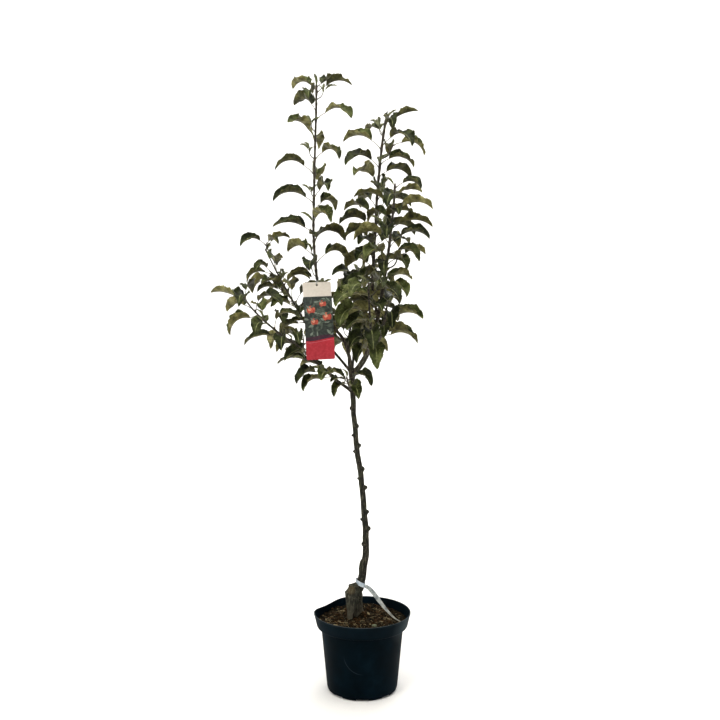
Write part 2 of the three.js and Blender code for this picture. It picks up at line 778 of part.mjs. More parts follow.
// Stalk and blade as one closed body, which starts inside the stem and ends in the leaf's tip.
function leafSolid(leaf) {
  const rings = stalkRings(leaf);
  const sections = bladeSections(leaf);
  const tip = leaf.rib[MIDRIB_STEPS].point;
  const positions = [];
  const face = (...corners) => corners.forEach((p) => positions.push(p.x, p.y, p.z));
  const strip = (a, b, c, d) => {
    face(a, b, c);
    face(a, c, d);
  };
  const [rootLeft, rootRight, rootUnder] = rings[0];
  face(rootLeft, rootUnder, rootRight);
  for (let i = 0; i < rings.length - 1; i += 1) {
    for (let j = 0; j < 3; j += 1) {
      const k = (j + 1) % 3;
      strip(rings[i][j], rings[i][k], rings[i + 1][k], rings[i + 1][j]);
    }
  }
  const [left, right, under] = rings[rings.length - 1];
  const first = sections[0];
  face(left, right, first.middle);
  face(left, first.middle, first.left);
  face(right, first.right, first.middle);
  strip(left, first.left, first.under, under);
  strip(under, first.under, first.right, right);
  for (let i = 0; i < sections.length - 1; i += 1) {
    const [near, far] = [sections[i], sections[i + 1]];
    strip(near.left, near.middle, far.middle, far.left);
    strip(near.middle, near.right, far.right, far.middle);
    strip(near.left, far.left, far.under, near.under);
    strip(near.under, far.under, far.right, near.right);
  }
  const last = sections[sections.length - 1];
  face(last.left, last.middle, tip);
  face(last.middle, last.right, tip);
  face(last.left, tip, last.under);
  face(last.under, tip, last.right);
  const geometry = new THREE.BufferGeometry();
  geometry.setAttribute("position", new THREE.Float32BufferAttribute(positions, 3));
  return solidOf(geometry);
}

function shootSolid({ stem, twigs, leaves }) {
  return joined([
    limbSolid(stem, FACETS.stem),
    ...twigs.map((twig) => limbSolid(twig, FACETS.twig)),
    ...leaves.map((leaf) => leafSolid(leaf)),
  ]);
}

// ---------------------------------------------------------------- labels

// From the card's own frame, x across and z up from its middle, to the tree's, and back.
const fromCard = new THREE.Matrix4()
  .makeRotationFromEuler(new THREE.Euler(-CARD.pitch * DEGREE, -CARD.roll * DEGREE, CARD.yaw * DEGREE, "ZYX"))
  .setPosition(...CARD.centre);
const ontoCard = fromCard.clone().invert();

function onCard(x, y, z) {
  const bowed = y - CARD.bow * (1 - (2 * z / CARD.height) ** 2);
  return new THREE.Vector3(x, bowed, z).applyMatrix4(fromCard);
}

function cardSolid() {
  const { width, height, corner, thickness } = CARD;
  const [w, h] = [width / 2, height / 2];
  const shape = new THREE.Shape();
  shape.moveTo(-w + corner, -h);
  shape.lineTo(w - corner, -h);
  shape.absarc(w - corner, -h + corner, corner, -Math.PI / 2, 0);
  for (let i = 1; i < 6; i += 1) shape.lineTo(w, -h + (i * height) / 6);
  shape.absarc(w - corner, h - corner, corner, 0, Math.PI / 2);
  shape.absarc(-w + corner, h - corner, corner, Math.PI / 2, Math.PI);
  for (let i = 5; i > 0; i -= 1) shape.lineTo(-w, -h + (i * height) / 6);
  shape.absarc(-w + corner, -h + corner, corner, Math.PI, 1.5 * Math.PI);
  const hole = new THREE.Path();
  hole.absarc(0, h - CARD.holeDrop, CARD.holeRadius, 0, 2 * Math.PI, true);
  shape.holes.push(hole);
  const card = new THREE.ExtrudeGeometry(shape, { depth: thickness, bevelEnabled: false, curveSegments: 3 });
  const positions = card.attributes.position;
  for (let i = 0; i < positions.count; i += 1) {
    const place = onCard(positions.getX(i), -positions.getZ(i), positions.getY(i));
    positions.setXYZ(i, place.x, place.y, place.z);
  }
  return solidOf(card);
}

// A loop through the card's hole and round the leader.
function cardTieSolid(leaderStem) {
  const hole = onCard(0, -CARD.thickness / 2, CARD.height / 2 - CARD.holeDrop + CARD_TIE.raise);
  const stem = leaderStem.curve.getPoint(CARD_TIE.share);
  const clear = leaderStem.radiusAt(CARD_TIE.share) + CARD_TIE.radius + CARD_TIE.slack;
  const over = CARD.holeDrop + CARD_TIE.radius + 2;
  const stops = [
    [hole.x, hole.y, hole.z],
    [hole.x, hole.y - 3.4, hole.z + 2],
    [hole.x - 0.5, hole.y - 3, hole.z + over * 0.7],
    [hole.x - 2, hole.y + 3, hole.z + over * 1.15],
    [stem.x - clear, stem.y - 2, stem.z],
    [stem.x, stem.y + clear, stem.z + 1],
    [stem.x + clear, stem.y - 2, stem.z],
    [hole.x + 3, hole.y + 8, hole.z + over * 0.8],
    [hole.x + 0.5, hole.y + 3.4, hole.z + 2],
  ];
  const route = stops.map((stop) => new THREE.Vector3(...stop));
  const curve = new THREE.CatmullRomCurve3(route, true, "catmullrom", 0.5);
  const rings = Array.from({ length: CARD_TIE.steps }, (_, i) => {
    const share = i / CARD_TIE.steps;
    return ringAt(curve.getPoint(share), curve.getTangent(share), () => CARD_TIE.radius, CARD_TIE.sides);
  });
  return solidOf(loft(rings, true));
}

// A flat strip along a curve: widthAlong gives its broad direction, widthAt its width.
function stripRing(centre, along, widthAlong, width, thickness) {
  const broad = widthAlong.clone().addScaledVector(along, -widthAlong.dot(along)).normalize();
  const thin = new THREE.Vector3().crossVectors(along, broad);
  return [[-1, -1], [1, -1], [1, 1], [-1, 1]].map(([a, b]) =>
    centre
      .clone()
      .addScaledVector(broad, (a * width) / 2)
      .addScaledVector(thin, (b * thickness) / 2),
  );
}

// The name band: a loop round the stem above the graft, and a tail that falls to the soil.
function bandSolid() {
  const centre = new THREE.Vector3(...BAND.centre);
  const facets = 16;
  const up = new THREE.Vector3(0, 0, 1);
  const loop = Array.from({ length: facets }, (_, i) => {
    const angle = (i / facets) * 2 * Math.PI;
    const out = new THREE.Vector3(Math.cos(angle), Math.sin(angle), 0);
    const place = centre.clone().addScaledVector(out, BAND.radius);
    place.z -= BAND.fall * Math.cos(angle);
    const climb = (BAND.fall / BAND.radius) * Math.sin(angle);
    const along = new THREE.Vector3(-Math.sin(angle), Math.cos(angle), climb);
    return stripRing(place, along.normalize(), up, BAND.width, BAND.thickness);
  });
  const route = BAND.tail.map((stop) => new THREE.Vector3(...stop));
  const curve = new THREE.CatmullRomCurve3(route, false, "catmullrom", 0.5);
  const steps = 12;
  const tail = Array.from({ length: steps + 1 }, (_, i) => {
    const share = i / steps;
    const width = THREE.MathUtils.lerp(BAND.width, BAND.tipWidth, share ** 1.6);
    return stripRing(curve.getPoint(share), curve.getTangent(share), up, width, BAND.thickness);
  });
  return joined([solidOf(loft(loop, true)), solidOf(loft(tail))]);
}

// ---------------------------------------------------------------- assembly

const tree = new THREE.Group();

function add(name, solid, material) {
  const mesh = new THREE.Mesh(geometryOf(solid), material);
  mesh.name = name;
  tree.add(mesh);
}

add("pot", potSolid(), MATERIALS.pot);
add("soil", soilSolid(), MATERIALS.soil);
add("trunk", trunkSolid(), MATERIALS.bark);
for (const [name, solid] of Object.entries(boughSolids())) add(name, solid, MATERIALS.bark);

addLimbObstacles(scion);
Object.values(boughs).forEach((bough) => addLimbObstacles(bough));

const BOUGH_OF = {
  foliage_leader: "leader",
  foliage_left_low: "bough_left_low",
  foliage_left_high: "bough_left_high",
  foliage_right_inner: "bough_right_inner",
  foliage_right_outer: "bough_right",
  foliage_right_low: "bough_right_low",
  foliage_centre: "bough_centre",
  foliage_front: "bough_front",
  foliage_back: "bough_back",
};

// A shoot starts 0.3 mm past the end face of its bough, or inside the trunk and is cut clear.
function startOf(name) {
  if (!BOUGH_OF[name]) return SHOOTS[name].from;
  const { curve } = boughs[BOUGH_OF[name]];
  return curve.getPoint(1).addScaledVector(curve.getTangent(1), GAP).toArray();
}

const stems = Object.entries(SHOOTS).map(([name, spec]) => [name, growStem(name, spec, startOf(name))]);
const shoots = Object.fromEntries(stems.map(([name, stem]) => [name, growLeaves(name, SHOOTS[name], stem)]));
const limbsClear = [
  limbSolid(scion, FACETS.trunk, GAP),
  ...Object.values(boughs).map((bough) => limbSolid(bough, FACETS.bough, GAP)),
];
for (const [name, shoot] of Object.entries(shoots)) {
  add(name, largestBody(shootSolid(shoot).subtract(joined(limbsClear))), MATERIALS.leaf);
}

add("name_band", bandSolid(), MATERIALS.band);
add("card", cardSolid(), MATERIALS.card);
add("card_tie", cardTieSolid(shoots.foliage_leader.stem), MATERIALS.tie);

export default tree;
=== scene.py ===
import math
import random

import bmesh
import bpy
import numpy as np
from mathutils import Euler, Matrix, Vector, noise
from mathutils.geometry import delaunay_2d_cdt


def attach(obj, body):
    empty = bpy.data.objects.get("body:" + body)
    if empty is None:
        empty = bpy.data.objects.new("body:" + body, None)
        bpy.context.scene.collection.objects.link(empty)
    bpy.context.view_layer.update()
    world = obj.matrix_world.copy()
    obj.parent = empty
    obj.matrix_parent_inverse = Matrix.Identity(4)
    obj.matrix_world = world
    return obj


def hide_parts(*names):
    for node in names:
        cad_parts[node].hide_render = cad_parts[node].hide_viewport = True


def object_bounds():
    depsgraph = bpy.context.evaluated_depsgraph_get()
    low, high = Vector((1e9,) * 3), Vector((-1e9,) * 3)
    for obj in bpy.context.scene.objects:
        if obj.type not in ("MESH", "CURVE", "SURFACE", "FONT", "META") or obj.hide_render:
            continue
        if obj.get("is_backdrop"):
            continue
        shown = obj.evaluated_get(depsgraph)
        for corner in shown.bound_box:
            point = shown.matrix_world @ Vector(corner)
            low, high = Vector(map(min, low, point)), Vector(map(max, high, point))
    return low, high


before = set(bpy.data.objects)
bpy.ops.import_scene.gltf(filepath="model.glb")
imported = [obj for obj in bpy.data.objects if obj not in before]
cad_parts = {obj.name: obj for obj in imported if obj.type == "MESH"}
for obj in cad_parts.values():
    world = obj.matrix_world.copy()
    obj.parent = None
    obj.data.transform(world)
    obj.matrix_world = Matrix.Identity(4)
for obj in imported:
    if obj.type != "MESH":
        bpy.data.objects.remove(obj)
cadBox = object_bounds()
print("frame loaded:", len(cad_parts), "nodes")

# Sizes below are in millimetres in the frame's own axes, and meshes are made in metres.
mm = 0.001
degree = math.pi / 180
circle = 2 * math.pi


# Mesh and material helpers

def linear(hexColour):
    channels = [int(hexColour[i:i + 2], 16) / 255 for i in (1, 3, 5)]
    return tuple(c / 12.92 if c <= 0.04045 else ((c + 0.055) / 1.055) ** 2.4 for c in channels) + (1.0,)


def addNode(tree, kind, inputs=(), stops=(), **settings):
    # inputs go by name or in order, each a value, a hex colour, a socket or a node
    node = tree.nodes.new("ShaderNode" + kind)
    for name, value in settings.items():
        setattr(node, name, value)
    for name, value in inputs.items() if isinstance(inputs, dict) else enumerate(inputs):
        if isinstance(value, bpy.types.Node):
            value = next(output for output in value.outputs if output.enabled)
        if isinstance(value, bpy.types.NodeSocket):
            tree.links.new(value, node.inputs[name])
        else:
            node.inputs[name].default_value = linear(value) if isinstance(value, str) else value
    stops = list(stops)
    while len(stops) > 2 and len(node.color_ramp.elements) < len(stops):
        node.color_ramp.elements.new(0.5)
    for i, (place, colour) in enumerate(stops):
        node.color_ramp.elements[i].position, node.color_ramp.elements[i].color = place, linear(colour)
    return node


def startMaterial(name):
    material = bpy.data.materials.new(name)
    material.use_nodes = True
    tree = material.node_tree
    tree.nodes.clear()
    return material, tree, addNode(tree, "TexCoord").outputs["Object"]


def finishMaterial(tree, relief, strength, depth, **values):
    # relief is a height that bumps the surface by up to the depth in mm
    if relief:
        values["Normal"] = addNode(tree, "Bump", {"Height": relief, "Strength": strength,
                                                  "Distance": depth * mm})
    values = {name.replace("_", " "): value for name, value in values.items()}
    addNode(tree, "OutputMaterial", {"Surface": addNode(tree, "BsdfPrincipled", values)})


def grainyMaterial(name, grain, stops, strength, depth, **values):
    # one noise gives both the colour and the relief
    material, tree, place = startMaterial(name)
    texture = addNode(tree, "TexNoise", {"Vector": place, **grain})
    tint = addNode(tree, "ValToRGB", [texture], stops)
    finishMaterial(tree, texture if strength else None, strength, depth, Base_Color=tint, **values)
    return material


def addObject(name, data):
    made = bpy.data.objects.new(name, data)
    bpy.context.scene.collection.objects.link(made)
    return made


def fillMesh(name, parts, materials=()):
    # parts are (vertices in mm, faces, material index) and become one mesh
    points, faces, indices, start = [], [], [], 0
    for vertices, partFaces, index in parts:
        points.append(np.asarray(vertices, float).reshape(-1, 3))
        faces += [tuple(corner + start for corner in face) for face in partFaces]
        indices += [index] * len(partFaces) if isinstance(index, int) else list(index)
        start += len(points[-1])
    mesh = bpy.data.meshes.new(name)
    mesh.from_pydata((np.concatenate(points) * mm).tolist(), [], faces)
    for material in materials:
        mesh.materials.append(material)
    mesh.polygons.foreach_set("material_index", indices)
    mesh.polygons.foreach_set("use_smooth", [True] * len(mesh.polygons))
    return mesh


def standFor(nodes, piece):
    # the piece moves with the tree's one body and shows in place of these nodes
    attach(piece, "root")
    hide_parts(*nodes)
    return piece


def meshPiece(name, parts, materials, nodes):
    mesh = fillMesh(name, parts, materials)
    mesh.validate()
    return standFor(nodes, addObject(name, mesh))


def evaluatedMesh(piece):
    return bpy.data.meshes.new_from_object(piece.evaluated_get(bpy.context.evaluated_depsgraph_get()))


def sharpen(mesh, angle):
    # smooth shading, broken at edges that turn more than the angle
    shape = bmesh.new()
    shape.from_mesh(mesh)
    for edge in shape.edges:
        edge.smooth = not (len(edge.link_faces) == 2 and edge.calc_face_angle(0) > angle * degree)
    for face in shape.faces:
        face.smooth = True
    shape.to_mesh(mesh)
    shape.free()


def gridFaces(rows, columns, closed=False, start=0):
    # quads between rows of points, round each ring where it is closed
    faces = []
    for i in range(rows - 1):
        for j in range(columns if closed else columns - 1):
            a, b = start + i * columns + j, start + i * columns + (j + 1) % columns
            faces.append((a, b, b + columns, a + columns))
    return faces


def fanFaces(middle, ring, count):
    return [(middle, ring + j, ring + (j + 1) % count) for j in range(count)]


def ringAt(radius, height, sides):
    angles = [j / sides * circle for j in range(sides)]
    return [(radius * math.cos(angle), radius * math.sin(angle), height) for angle in angles]


# Curves and tubes

def unit(vector):
    return vector / math.sqrt(vector @ vector)


def limbOf(stations):
    # stations are x, y, z and radius
    stations = np.array(stations, float)
    return {"points": stations[:, :3], "radii": stations[:, 3]}


def pointAt(limb, share, closed=False):
    # a smooth curve through the limb's points, each a quarter cubic's share from its neighbours
    points, count = limb["points"], len(limb["points"])
    place = (count - (0 if closed else 1)) * share
    i = int(math.floor(place))
    weight = place - i
    if not closed and weight == 0 and i == count - 1:
        i, weight = count - 2, 1.0
    if closed:
        p0, p1, p2, p3 = [points[(i + k) % count] for k in (-1, 0, 1, 2)]
    else:
        p1, p2 = points[i], points[i + 1]
        p0 = points[i - 1] if i > 0 else 2 * p1 - p2
        p3 = points[i + 2] if i + 2 < count else 2 * p2 - p1
    t0, t1 = 0.5 * (p2 - p0), 0.5 * (p3 - p1)
    cubic = 2 * p1 - 2 * p2 + t0 + t1
    square = -3 * p1 + 3 * p2 - 2 * t0 - t1
    return p1 + t0 * weight + square * weight ** 2 + cubic * weight ** 3


def tangentAt(limb, share):
    step = 0.0001
    return unit(pointAt(limb, min(share + step, 1)) - pointAt(limb, max(share - step, 0)))


def radiusAt(limb, share):
    radii = limb["radii"]
    place = min(share, 1) * (len(radii) - 1)
    i = min(int(place), len(radii) - 2)
    return radii[i] + (radii[i + 1] - radii[i]) * (place - i)


def lengthOf(limb):
    points = np.array([pointAt(limb, i / 200) for i in range(201)])
    return float(np.sqrt(((points[1:] - points[:-1]) ** 2).sum(1)).sum())


def sideAxes(along):
    first = unit(np.array([1.0, 0, 0]) - along * along[0])
    return first, np.cross(along, first)


def outFrom(along, turn):
    # square to the stem, so many degrees round it
    first, second = sideAxes(along)
    return first * math.cos(turn * degree) + second * math.sin(turn * degree)


def tube(centres, radii, sides, capped=True):
    # a round tube through the centres, with rings square to the way that it runs
    centres = np.asarray(centres, float)
    ways = np.gradient(centres, axis=0)
    ways /= np.linalg.norm(ways, axis=1)[:, None]
    side = unit(np.cross(ways[0], [0.3, 0.9, 0.2]))
    angles = np.arange(sides) * 2 * math.pi / sides
    rings = []
    for centre, way, radius in zip(centres, ways, radii):
        side = unit(side - way * (side @ way))
        other = np.cross(way, side)
        rings.append(centre + radius * (np.outer(np.cos(angles), side) + np.outer(np.sin(angles), other)))
    faces = gridFaces(len(rings), sides, closed=True)
    if capped:
        last = (len(rings) - 1) * sides
        faces += [tuple(reversed(range(sides))), tuple(range(last, last + sides))]
    return np.concatenate(rings), faces


# The tree's limbs and the rule that it grows by, as its solids have them

# x, y, z and radius down the middle of each limb
scionStations = [[-16, 11, 272, 14], [-7, 11, 298, 12.6], [1, 11, 322, 11.4], [5, 10, 357, 10.2],
    [8, 9, 407, 8.7], [10, 8, 460, 8.2], [6, 7, 509, 7.6], [3, 6, 560, 7], [-6, 4, 642, 6.7],
    [-15, 2, 712, 6.3], [-23, 0, 790, 6], [-27, 0, 857, 6.3], [-29.5, 0, 918, 7.6]]
boughs = {
    "leader": [[-29.7, 0, 919, 6.2], [-37, 2, 955, 5.6], [-50, 4, 997, 5], [-74, 6, 1030, 4.6],
        [-98, 6, 1070, 4.3], [-114, 6, 1115, 4.1]],
    "bough_left_low": [[-26, 0, 854, 5.4], [-42, -5, 867, 4.8], [-58, -10, 879, 4.4],
        [-76, -16, 894, 4.2]],
    "bough_left_high": [[-30, 0, 908, 4.8], [-50, 9, 932, 4.2], [-72, 18, 957, 3.8],
        [-96, 29, 984, 3.4]],
    "bough_right": [[-29, 0, 905, 5.6], [-8, -2, 932, 5.2], [10, -4, 962, 5], [25, -7, 1000, 4.8],
        [38, -12, 1040, 4.7], [45, -15, 1078, 4.5], [52, -23, 1122, 4.2]],
    "bough_right_inner": [[42, -13, 1058, 4.6], [36, 2, 1096, 4.5], [29, 16, 1132, 4.5],
        [28, 30, 1170, 4.4]],
    "bough_centre": [[-29, 1, 910, 4.2], [-26, 16, 934, 3.8], [-24, 34, 960, 3.4]],
    "bough_front": [[-29, 0, 888, 4.6], [-16, -22, 912, 4.1], [2, -48, 938, 3.8], [16, -72, 966, 3.6]],
    "bough_back": [[-28, 1, 876, 4.4], [-34, 32, 902, 3.9], [-38, 66, 932, 3.6], [-38, 98, 966, 3.3]],
    "bough_right_low": [[14, -5, 970, 4.2], [28, -18, 984, 3.6], [44, -32, 1000, 3.3]],
}

# path carries on from the limb, turn is where the first leaf points, counted round the stem
# from +X, and step the turn from one leaf to the next
shoots = {
    "foliage_leader": {
        "bough": "leader",
        "path": [[-124, 6, 1163], [-131, 6, 1234], [-134, 5, 1308], [-132, 4, 1400], [-129, 2, 1513],
            [-125, 0, 1625], [-124, 0, 1692]],
        "radii": [3.9, 2.6], "leaves": 20, "first": 0.2, "last": 0.97,
        "turn": 260, "step": 126, "leafLength": 91, "tipSize": 0.95,
        "twigs": [], "seed": 6591,
    },
    "foliage_left_low": {
        "bough": "bough_left_low",
        "path": [[-97, -25, 915], [-130, -38, 945], [-159, -50, 973], [-191, -60, 999],
            [-224, -70, 1024], [-260, -82, 1056], [-291, -92, 1088], [-316, -101, 1122]],
        "radii": [3.9, 1.7], "leaves": 25, "first": 0.03, "last": 0.97,
        "turn": 205, "step": 144, "leafLength": 84, "tipSize": 1.05,
        "twigs": [[0.36, 80, 40]], "seed": 90749,
    },
    "foliage_left_high": {
        "bough": "bough_left_high",
        "path": [[-120, 41, 1007], [-160, 58, 1044], [-181, 68, 1078], [-199, 76, 1108],
            [-221, 86, 1146], [-245, 95, 1190], [-273, 103, 1245]],
        "radii": [3.2, 1.6], "leaves": 18, "first": 0.08, "last": 0.93,
        "turn": 295, "step": 144, "leafLength": 82, "tipSize": 0.7,
        "twigs": [[0.42, 20, 40], [0.64, 190, 23], [0.78, 155, 39], [0.99, 285, 24]], "seed": 80176,
    },
    "foliage_right_inner": {
        "bough": "bough_right_inner",
        "path": [[31, 42, 1214], [34, 54, 1270], [38, 62, 1329], [41, 70, 1392], [47, 77, 1460],
            [56, 82, 1545], [66, 86, 1610]],
        "radii": [4.3, 3.2], "leaves": 24, "first": 0.03, "last": 0.97,
        "turn": 325, "step": 162, "leafLength": 98, "tipSize": 0.85,
        "twigs": [[0.78, 350, 50]], "seed": 7847,
    },
    "foliage_right_outer": {
        "bough": "bough_right",
        "path": [[58, -30, 1153], [66, -38, 1208], [73, -45, 1262], [78, -50, 1306], [84, -55, 1367],
            [87, -60, 1420]],
        "radii": [4.1, 2.6], "leaves": 24, "first": 0.05, "last": 0.97,
        "turn": 185, "step": 132, "leafLength": 90, "tipSize": 0.75,
        "twigs": [[0.3, 340, 50]], "seed": 58469,
    },
    "foliage_right_low": {
        "bough": "bough_right_low",
        "path": [[54, -46, 1024], [60, -60, 1058], [66, -70, 1094]],
        "radii": [3.2, 2], "leaves": 15, "first": 0.03, "last": 0.96,
        "turn": 70, "step": 150, "leafLength": 94, "tipSize": 0.9,
        "twigs": [], "seed": 1626,
    },
    "foliage_front": {
        "bough": "bough_front",
        "path": [[22, -98, 1000], [22, -122, 1046], [18, -140, 1100], [16, -150, 1158]],
        "radii": [3.4, 1.9], "leaves": 17, "first": 0.12, "last": 0.96,
        "turn": 155, "step": 144, "leafLength": 92, "tipSize": 0.9,
        "twigs": [], "seed": 81931,
    },
    "foliage_centre": {
        "bough": "bough_centre",
        "path": [[-22, 54, 990], [-16, 74, 1034], [-10, 92, 1086], [-6, 106, 1150]],
        "radii": [3.2, 1.8], "leaves": 20, "first": 0.08, "last": 0.96,
        "turn": 10, "step": 126, "leafLength": 94, "tipSize": 0.9,
        "twigs": [], "seed": 13100,
    },
    "foliage_back": {
        "bough": "bough_back",
        "path": [[-36, 130, 1006], [-30, 160, 1058], [-22, 182, 1116], [-14, 198, 1182]],
        "radii": [3.1, 1.8], "leaves": 19, "first": 0.05, "last": 0.96,
        "turn": 145, "step": 156, "leafLength": 86, "tipSize": 0.9,
        "twigs": [], "seed": 57818,
    },
    "foliage_trunk": {
        "from": [-28, -1, 856],
        "path": [[-36, -16, 872], [-42, -30, 896]],
        "radii": [2.6, 1.8], "leaves": 9, "first": 0.45, "last": 0.97,
        "turn": 140, "step": 156, "leafLength": 76, "tipSize": 1,
        "twigs": [], "seed": 19882,
    },
}

leafForm = {
    "usual": 88,         # length of a usual leaf, whose stalk is this long:
    "stalk": 31,
    "bend": 0.55,        # the share of the stalk before its bend
    "unbent": 0.6,       # how much of its lean along the stem it keeps past the bend
    "rest": 0.5,
    "rise": [0.12, 0.1],
    "widthShare": 0.56,
    "fold": 44, "lift": 20, "droop": 92,  # degrees
}
# where leaves stand: sizes are shares of the shoot's leaf length, and turns are in degrees
leafPlaces = {
    "astray": [0.8, 24],             # along the shoot, as a share of the gap, and round it
    "tip": {"from": 0.86, "lead": 0.98},
    "twig": {"shares": [0.55, 0.8, 0.97], "turns": [40, 130], "astray": 40, "size": 0.85},
    "tuft": {"count": 3, "share": 0.985, "turn": 125, "size": 0.42},
}
twigForm = {
    "half": [0.42, 0.28],    # how far its middle stands out and along the stem, as shares of its length
    "end": [0.25, 0.55],     # how much farther out and up its end does
    "radii": [0.62, 0.45],   # its thickness at both ends, as shares of the stem's
}
# the full range of each share or angle in degrees, from one leaf to the next
spread = {"stalk": 0.4, "length": 0.28, "width": 0.24, "heading": 30, "lift": 16,
          "droop": 0.5, "sweep": 44, "roll": 50, "fold": 26}
grown = {"stalk": 1, "upright": 0.85, "width": 1, "lift": 1, "droop": 1, "fold": 1}
young = {"stalk": 0.5, "upright": 2.2, "width": 0.75, "lift": 1.7, "droop": 0.6, "fold": 1.3}
leading = {"stalk": 0.8, "upright": 0.7, "width": 0.85, "lift": 1, "droop": 0.4, "fold": 1}
ribSteps = 20
clear = {"leaf": 12, "sameShoot": 9, "limb": 7, "farthest": 24}  # how far apart the rule keeps things
tryTurns = [0, 28, -28, 55, -55, 85, -85]

card = {
    "width": 78, "height": 212, "thickness": 0.9, "corner": 4,
    "centre": np.array([-119.0, -40.0, 1056.0]),
    "roll": 1.8, "pitch": 9, "yaw": 10,  # degrees
    "holeRadius": 3, "holeDrop": 8, "bow": 5,
    "bare": {"behind": 12, "before": 160, "beside": 4},  # no leaf comes this near it
    "head": 40, "foot": 64,  # how much of it is bare above and below the printed leaves
    "apples": [(-20, 30, 11.5), (13, 46, 9.5), (23, 10, 12), (-12, -3, 10)],  # x, z and radius
    "leaves": 70,
}
cardTurn = np.array(Matrix.Rotation(card["yaw"] * degree, 3, "Z")
                    @ Matrix.Rotation(-card["roll"] * degree, 3, "Y")
                    @ Matrix.Rotation(-card["pitch"] * degree, 3, "X"))


def bowed(x, y, z):
    return np.array([x, y - card["bow"] * (1 - (2 * z / card["height"]) ** 2), z])


def drawsFrom(seed):
    state = seed * 7919
    while True:
        state = (state * 48271) % 2147483647
        yield state / 2147483647


def leafAt(stem, share, turn, size, age, draw):
    root, along = pointAt(stem, share), tangentAt(stem, share)
    out = outFrom(along, turn)

    def vary(i, name):
        return spread[name] * (draw[i] - 0.5)

    stalk = leafForm["stalk"] * (1 + vary(0, "stalk")) * (size / leafForm["usual"]) * age["stalk"]
    start = unit(out + along * age["upright"])
    start[2] += leafForm["rise"][0]
    middle = root + start * stalk * leafForm["bend"]
    onward = unit(out + along * age["upright"] * leafForm["unbent"])
    onward[2] += leafForm["rise"][1]
    rise = math.asin(onward[2] / math.sqrt(onward @ onward))
    leaf = {
        "root": root, "middle": middle, "base": middle + onward * stalk * leafForm["rest"],
        "length": size * (1 + vary(1, "length")),
        "width": size * leafForm["widthShare"] * (1 + vary(2, "width")) * age["width"],
        "heading": math.atan2(onward[1], onward[0]) + vary(3, "heading") * degree,
        "lift": 0.5 * rise + (leafForm["lift"] * age["lift"] + vary(4, "lift")) * degree,
        "droop": leafForm["droop"] * age["droop"] * (1 + vary(5, "droop")) * degree,
        "sweep": vary(6, "sweep") * degree,
        "roll": vary(7, "roll") * degree,
        "fold": (leafForm["fold"] + vary(8, "fold")) * age["fold"] * degree,
        "wave": [draw[9] * circle, draw[3] * circle],
        "young": age is young,
        "tone": draw[2],
    }
    leaf["rib"] = midribOf(leaf)
    return leaf


def midribOf(leaf):
    # points down the midrib, each with the ways across the blade and up from it
    point, rib = leaf["base"].copy(), []
    for i in range(ribSteps + 1):
        lift = leaf["lift"] - leaf["droop"] * i / ribSteps
        heading = leaf["heading"] + leaf["sweep"] * i / ribSteps
        along = np.array([math.cos(lift) * math.cos(heading), math.cos(lift) * math.sin(heading),
                          math.sin(lift)])
        level = np.array([-math.sin(heading), math.cos(heading), 0])
        side = level * math.cos(leaf["roll"]) + np.cross(along, level) * math.sin(leaf["roll"])
        rib.append((point.copy(), side, np.cross(along, side)))
        point = point + along * (leaf["length"] / ribSteps)
    return rib


def halfWidthAt(share):
    # an egg-shaped outline, broadest a little before its middle, as a share of the leaf's width
    return 0.5 * math.sin(math.pi * share ** 0.85) ** 0.75 * (1 - 0.15 * share)


def foldAt(leaf, share, half):
    # how far each half is folded up, less towards the tip and in a slow wave
    return leaf["fold"] * (1 - 0.25 * share) + 0.2 * math.sin(8.2 * share + leaf["wave"][half])


def bladePoint(leaf, share, across):
    point, side, upper = leaf["rib"][int(math.floor(share * ribSteps + 0.5))]
    fold = foldAt(leaf, share, 0 if across < 0 else 1)
    reach = abs(across) * leaf["width"] * halfWidthAt(share) if 0 < share < 1 else 0
    return point + side * math.copysign(reach * math.cos(fold), across) + upper * reach * math.sin(fold)


# where each leaf is tried for room: shares of its length and across each half
probes = [(share, across) for share in (0, 0.1, 0.25, 0.4, 0.5, 0.65, 0.8, 0.9, 1)
          for across in ((0,) if share in (0, 1) else (-1, -0.5, 0, 0.5, 1))]
obstacles = {"place": np.zeros((20000, 3)), "radius": np.zeros(20000), "shoot": np.zeros(20000, int),
             "count": 0}
shootNumber = {name: i + 1 for i, name in enumerate(shoots)}


def addObstacles(places, radii, shoot):
    # a leaf's own points have no radius: how near one may come depends on the shoot
    start = obstacles["count"]
    end = obstacles["count"] = start + len(places)
    for name, values in (("place", places), ("radius", radii), ("shoot", shoot)):
        obstacles[name][start:end] = values


def addLimbObstacles(limb, shoot):
    steps = math.ceil(lengthOf(limb) / 8)
    shares = [i / steps for i in range(steps + 1)]
    radii = [radiusAt(limb, share) + clear["limb"] for share in shares]
    addObstacles([pointAt(limb, share) for share in shares], radii, shoot)


def isClear(points, shoot, besideStem, gaps=clear):
    place, radius, owner = (obstacles[name][:obstacles["count"]] for name in ("place", "radius", "shoot"))
    own, isLeaf = owner == shoot, radius == 0
    low, high = points.min(0) - gaps["farthest"], points.max(0) + gaps["farthest"]
    near = np.all((place >= low) & (place <= high), 1) & (isLeaf | ~own | (not besideStem))
    reach = np.where(isLeaf, np.where(own, gaps["sameShoot"], gaps["leaf"]), radius)[near]
    apart = ((points[:, None] - place[near][None]) ** 2).sum(2)
    return bool(np.all(apart > reach ** 2))


def isAtCard(points):
    x, y, z = ((points - card["centre"]) @ cardTurn).T
    bare = card["bare"]
    return bool(np.any((y < bare["behind"]) & (y > -bare["before"])
                       & (abs(x) < card["width"] / 2 + bare["beside"])
                       & (abs(z) < card["height"] / 2 + bare["beside"])))


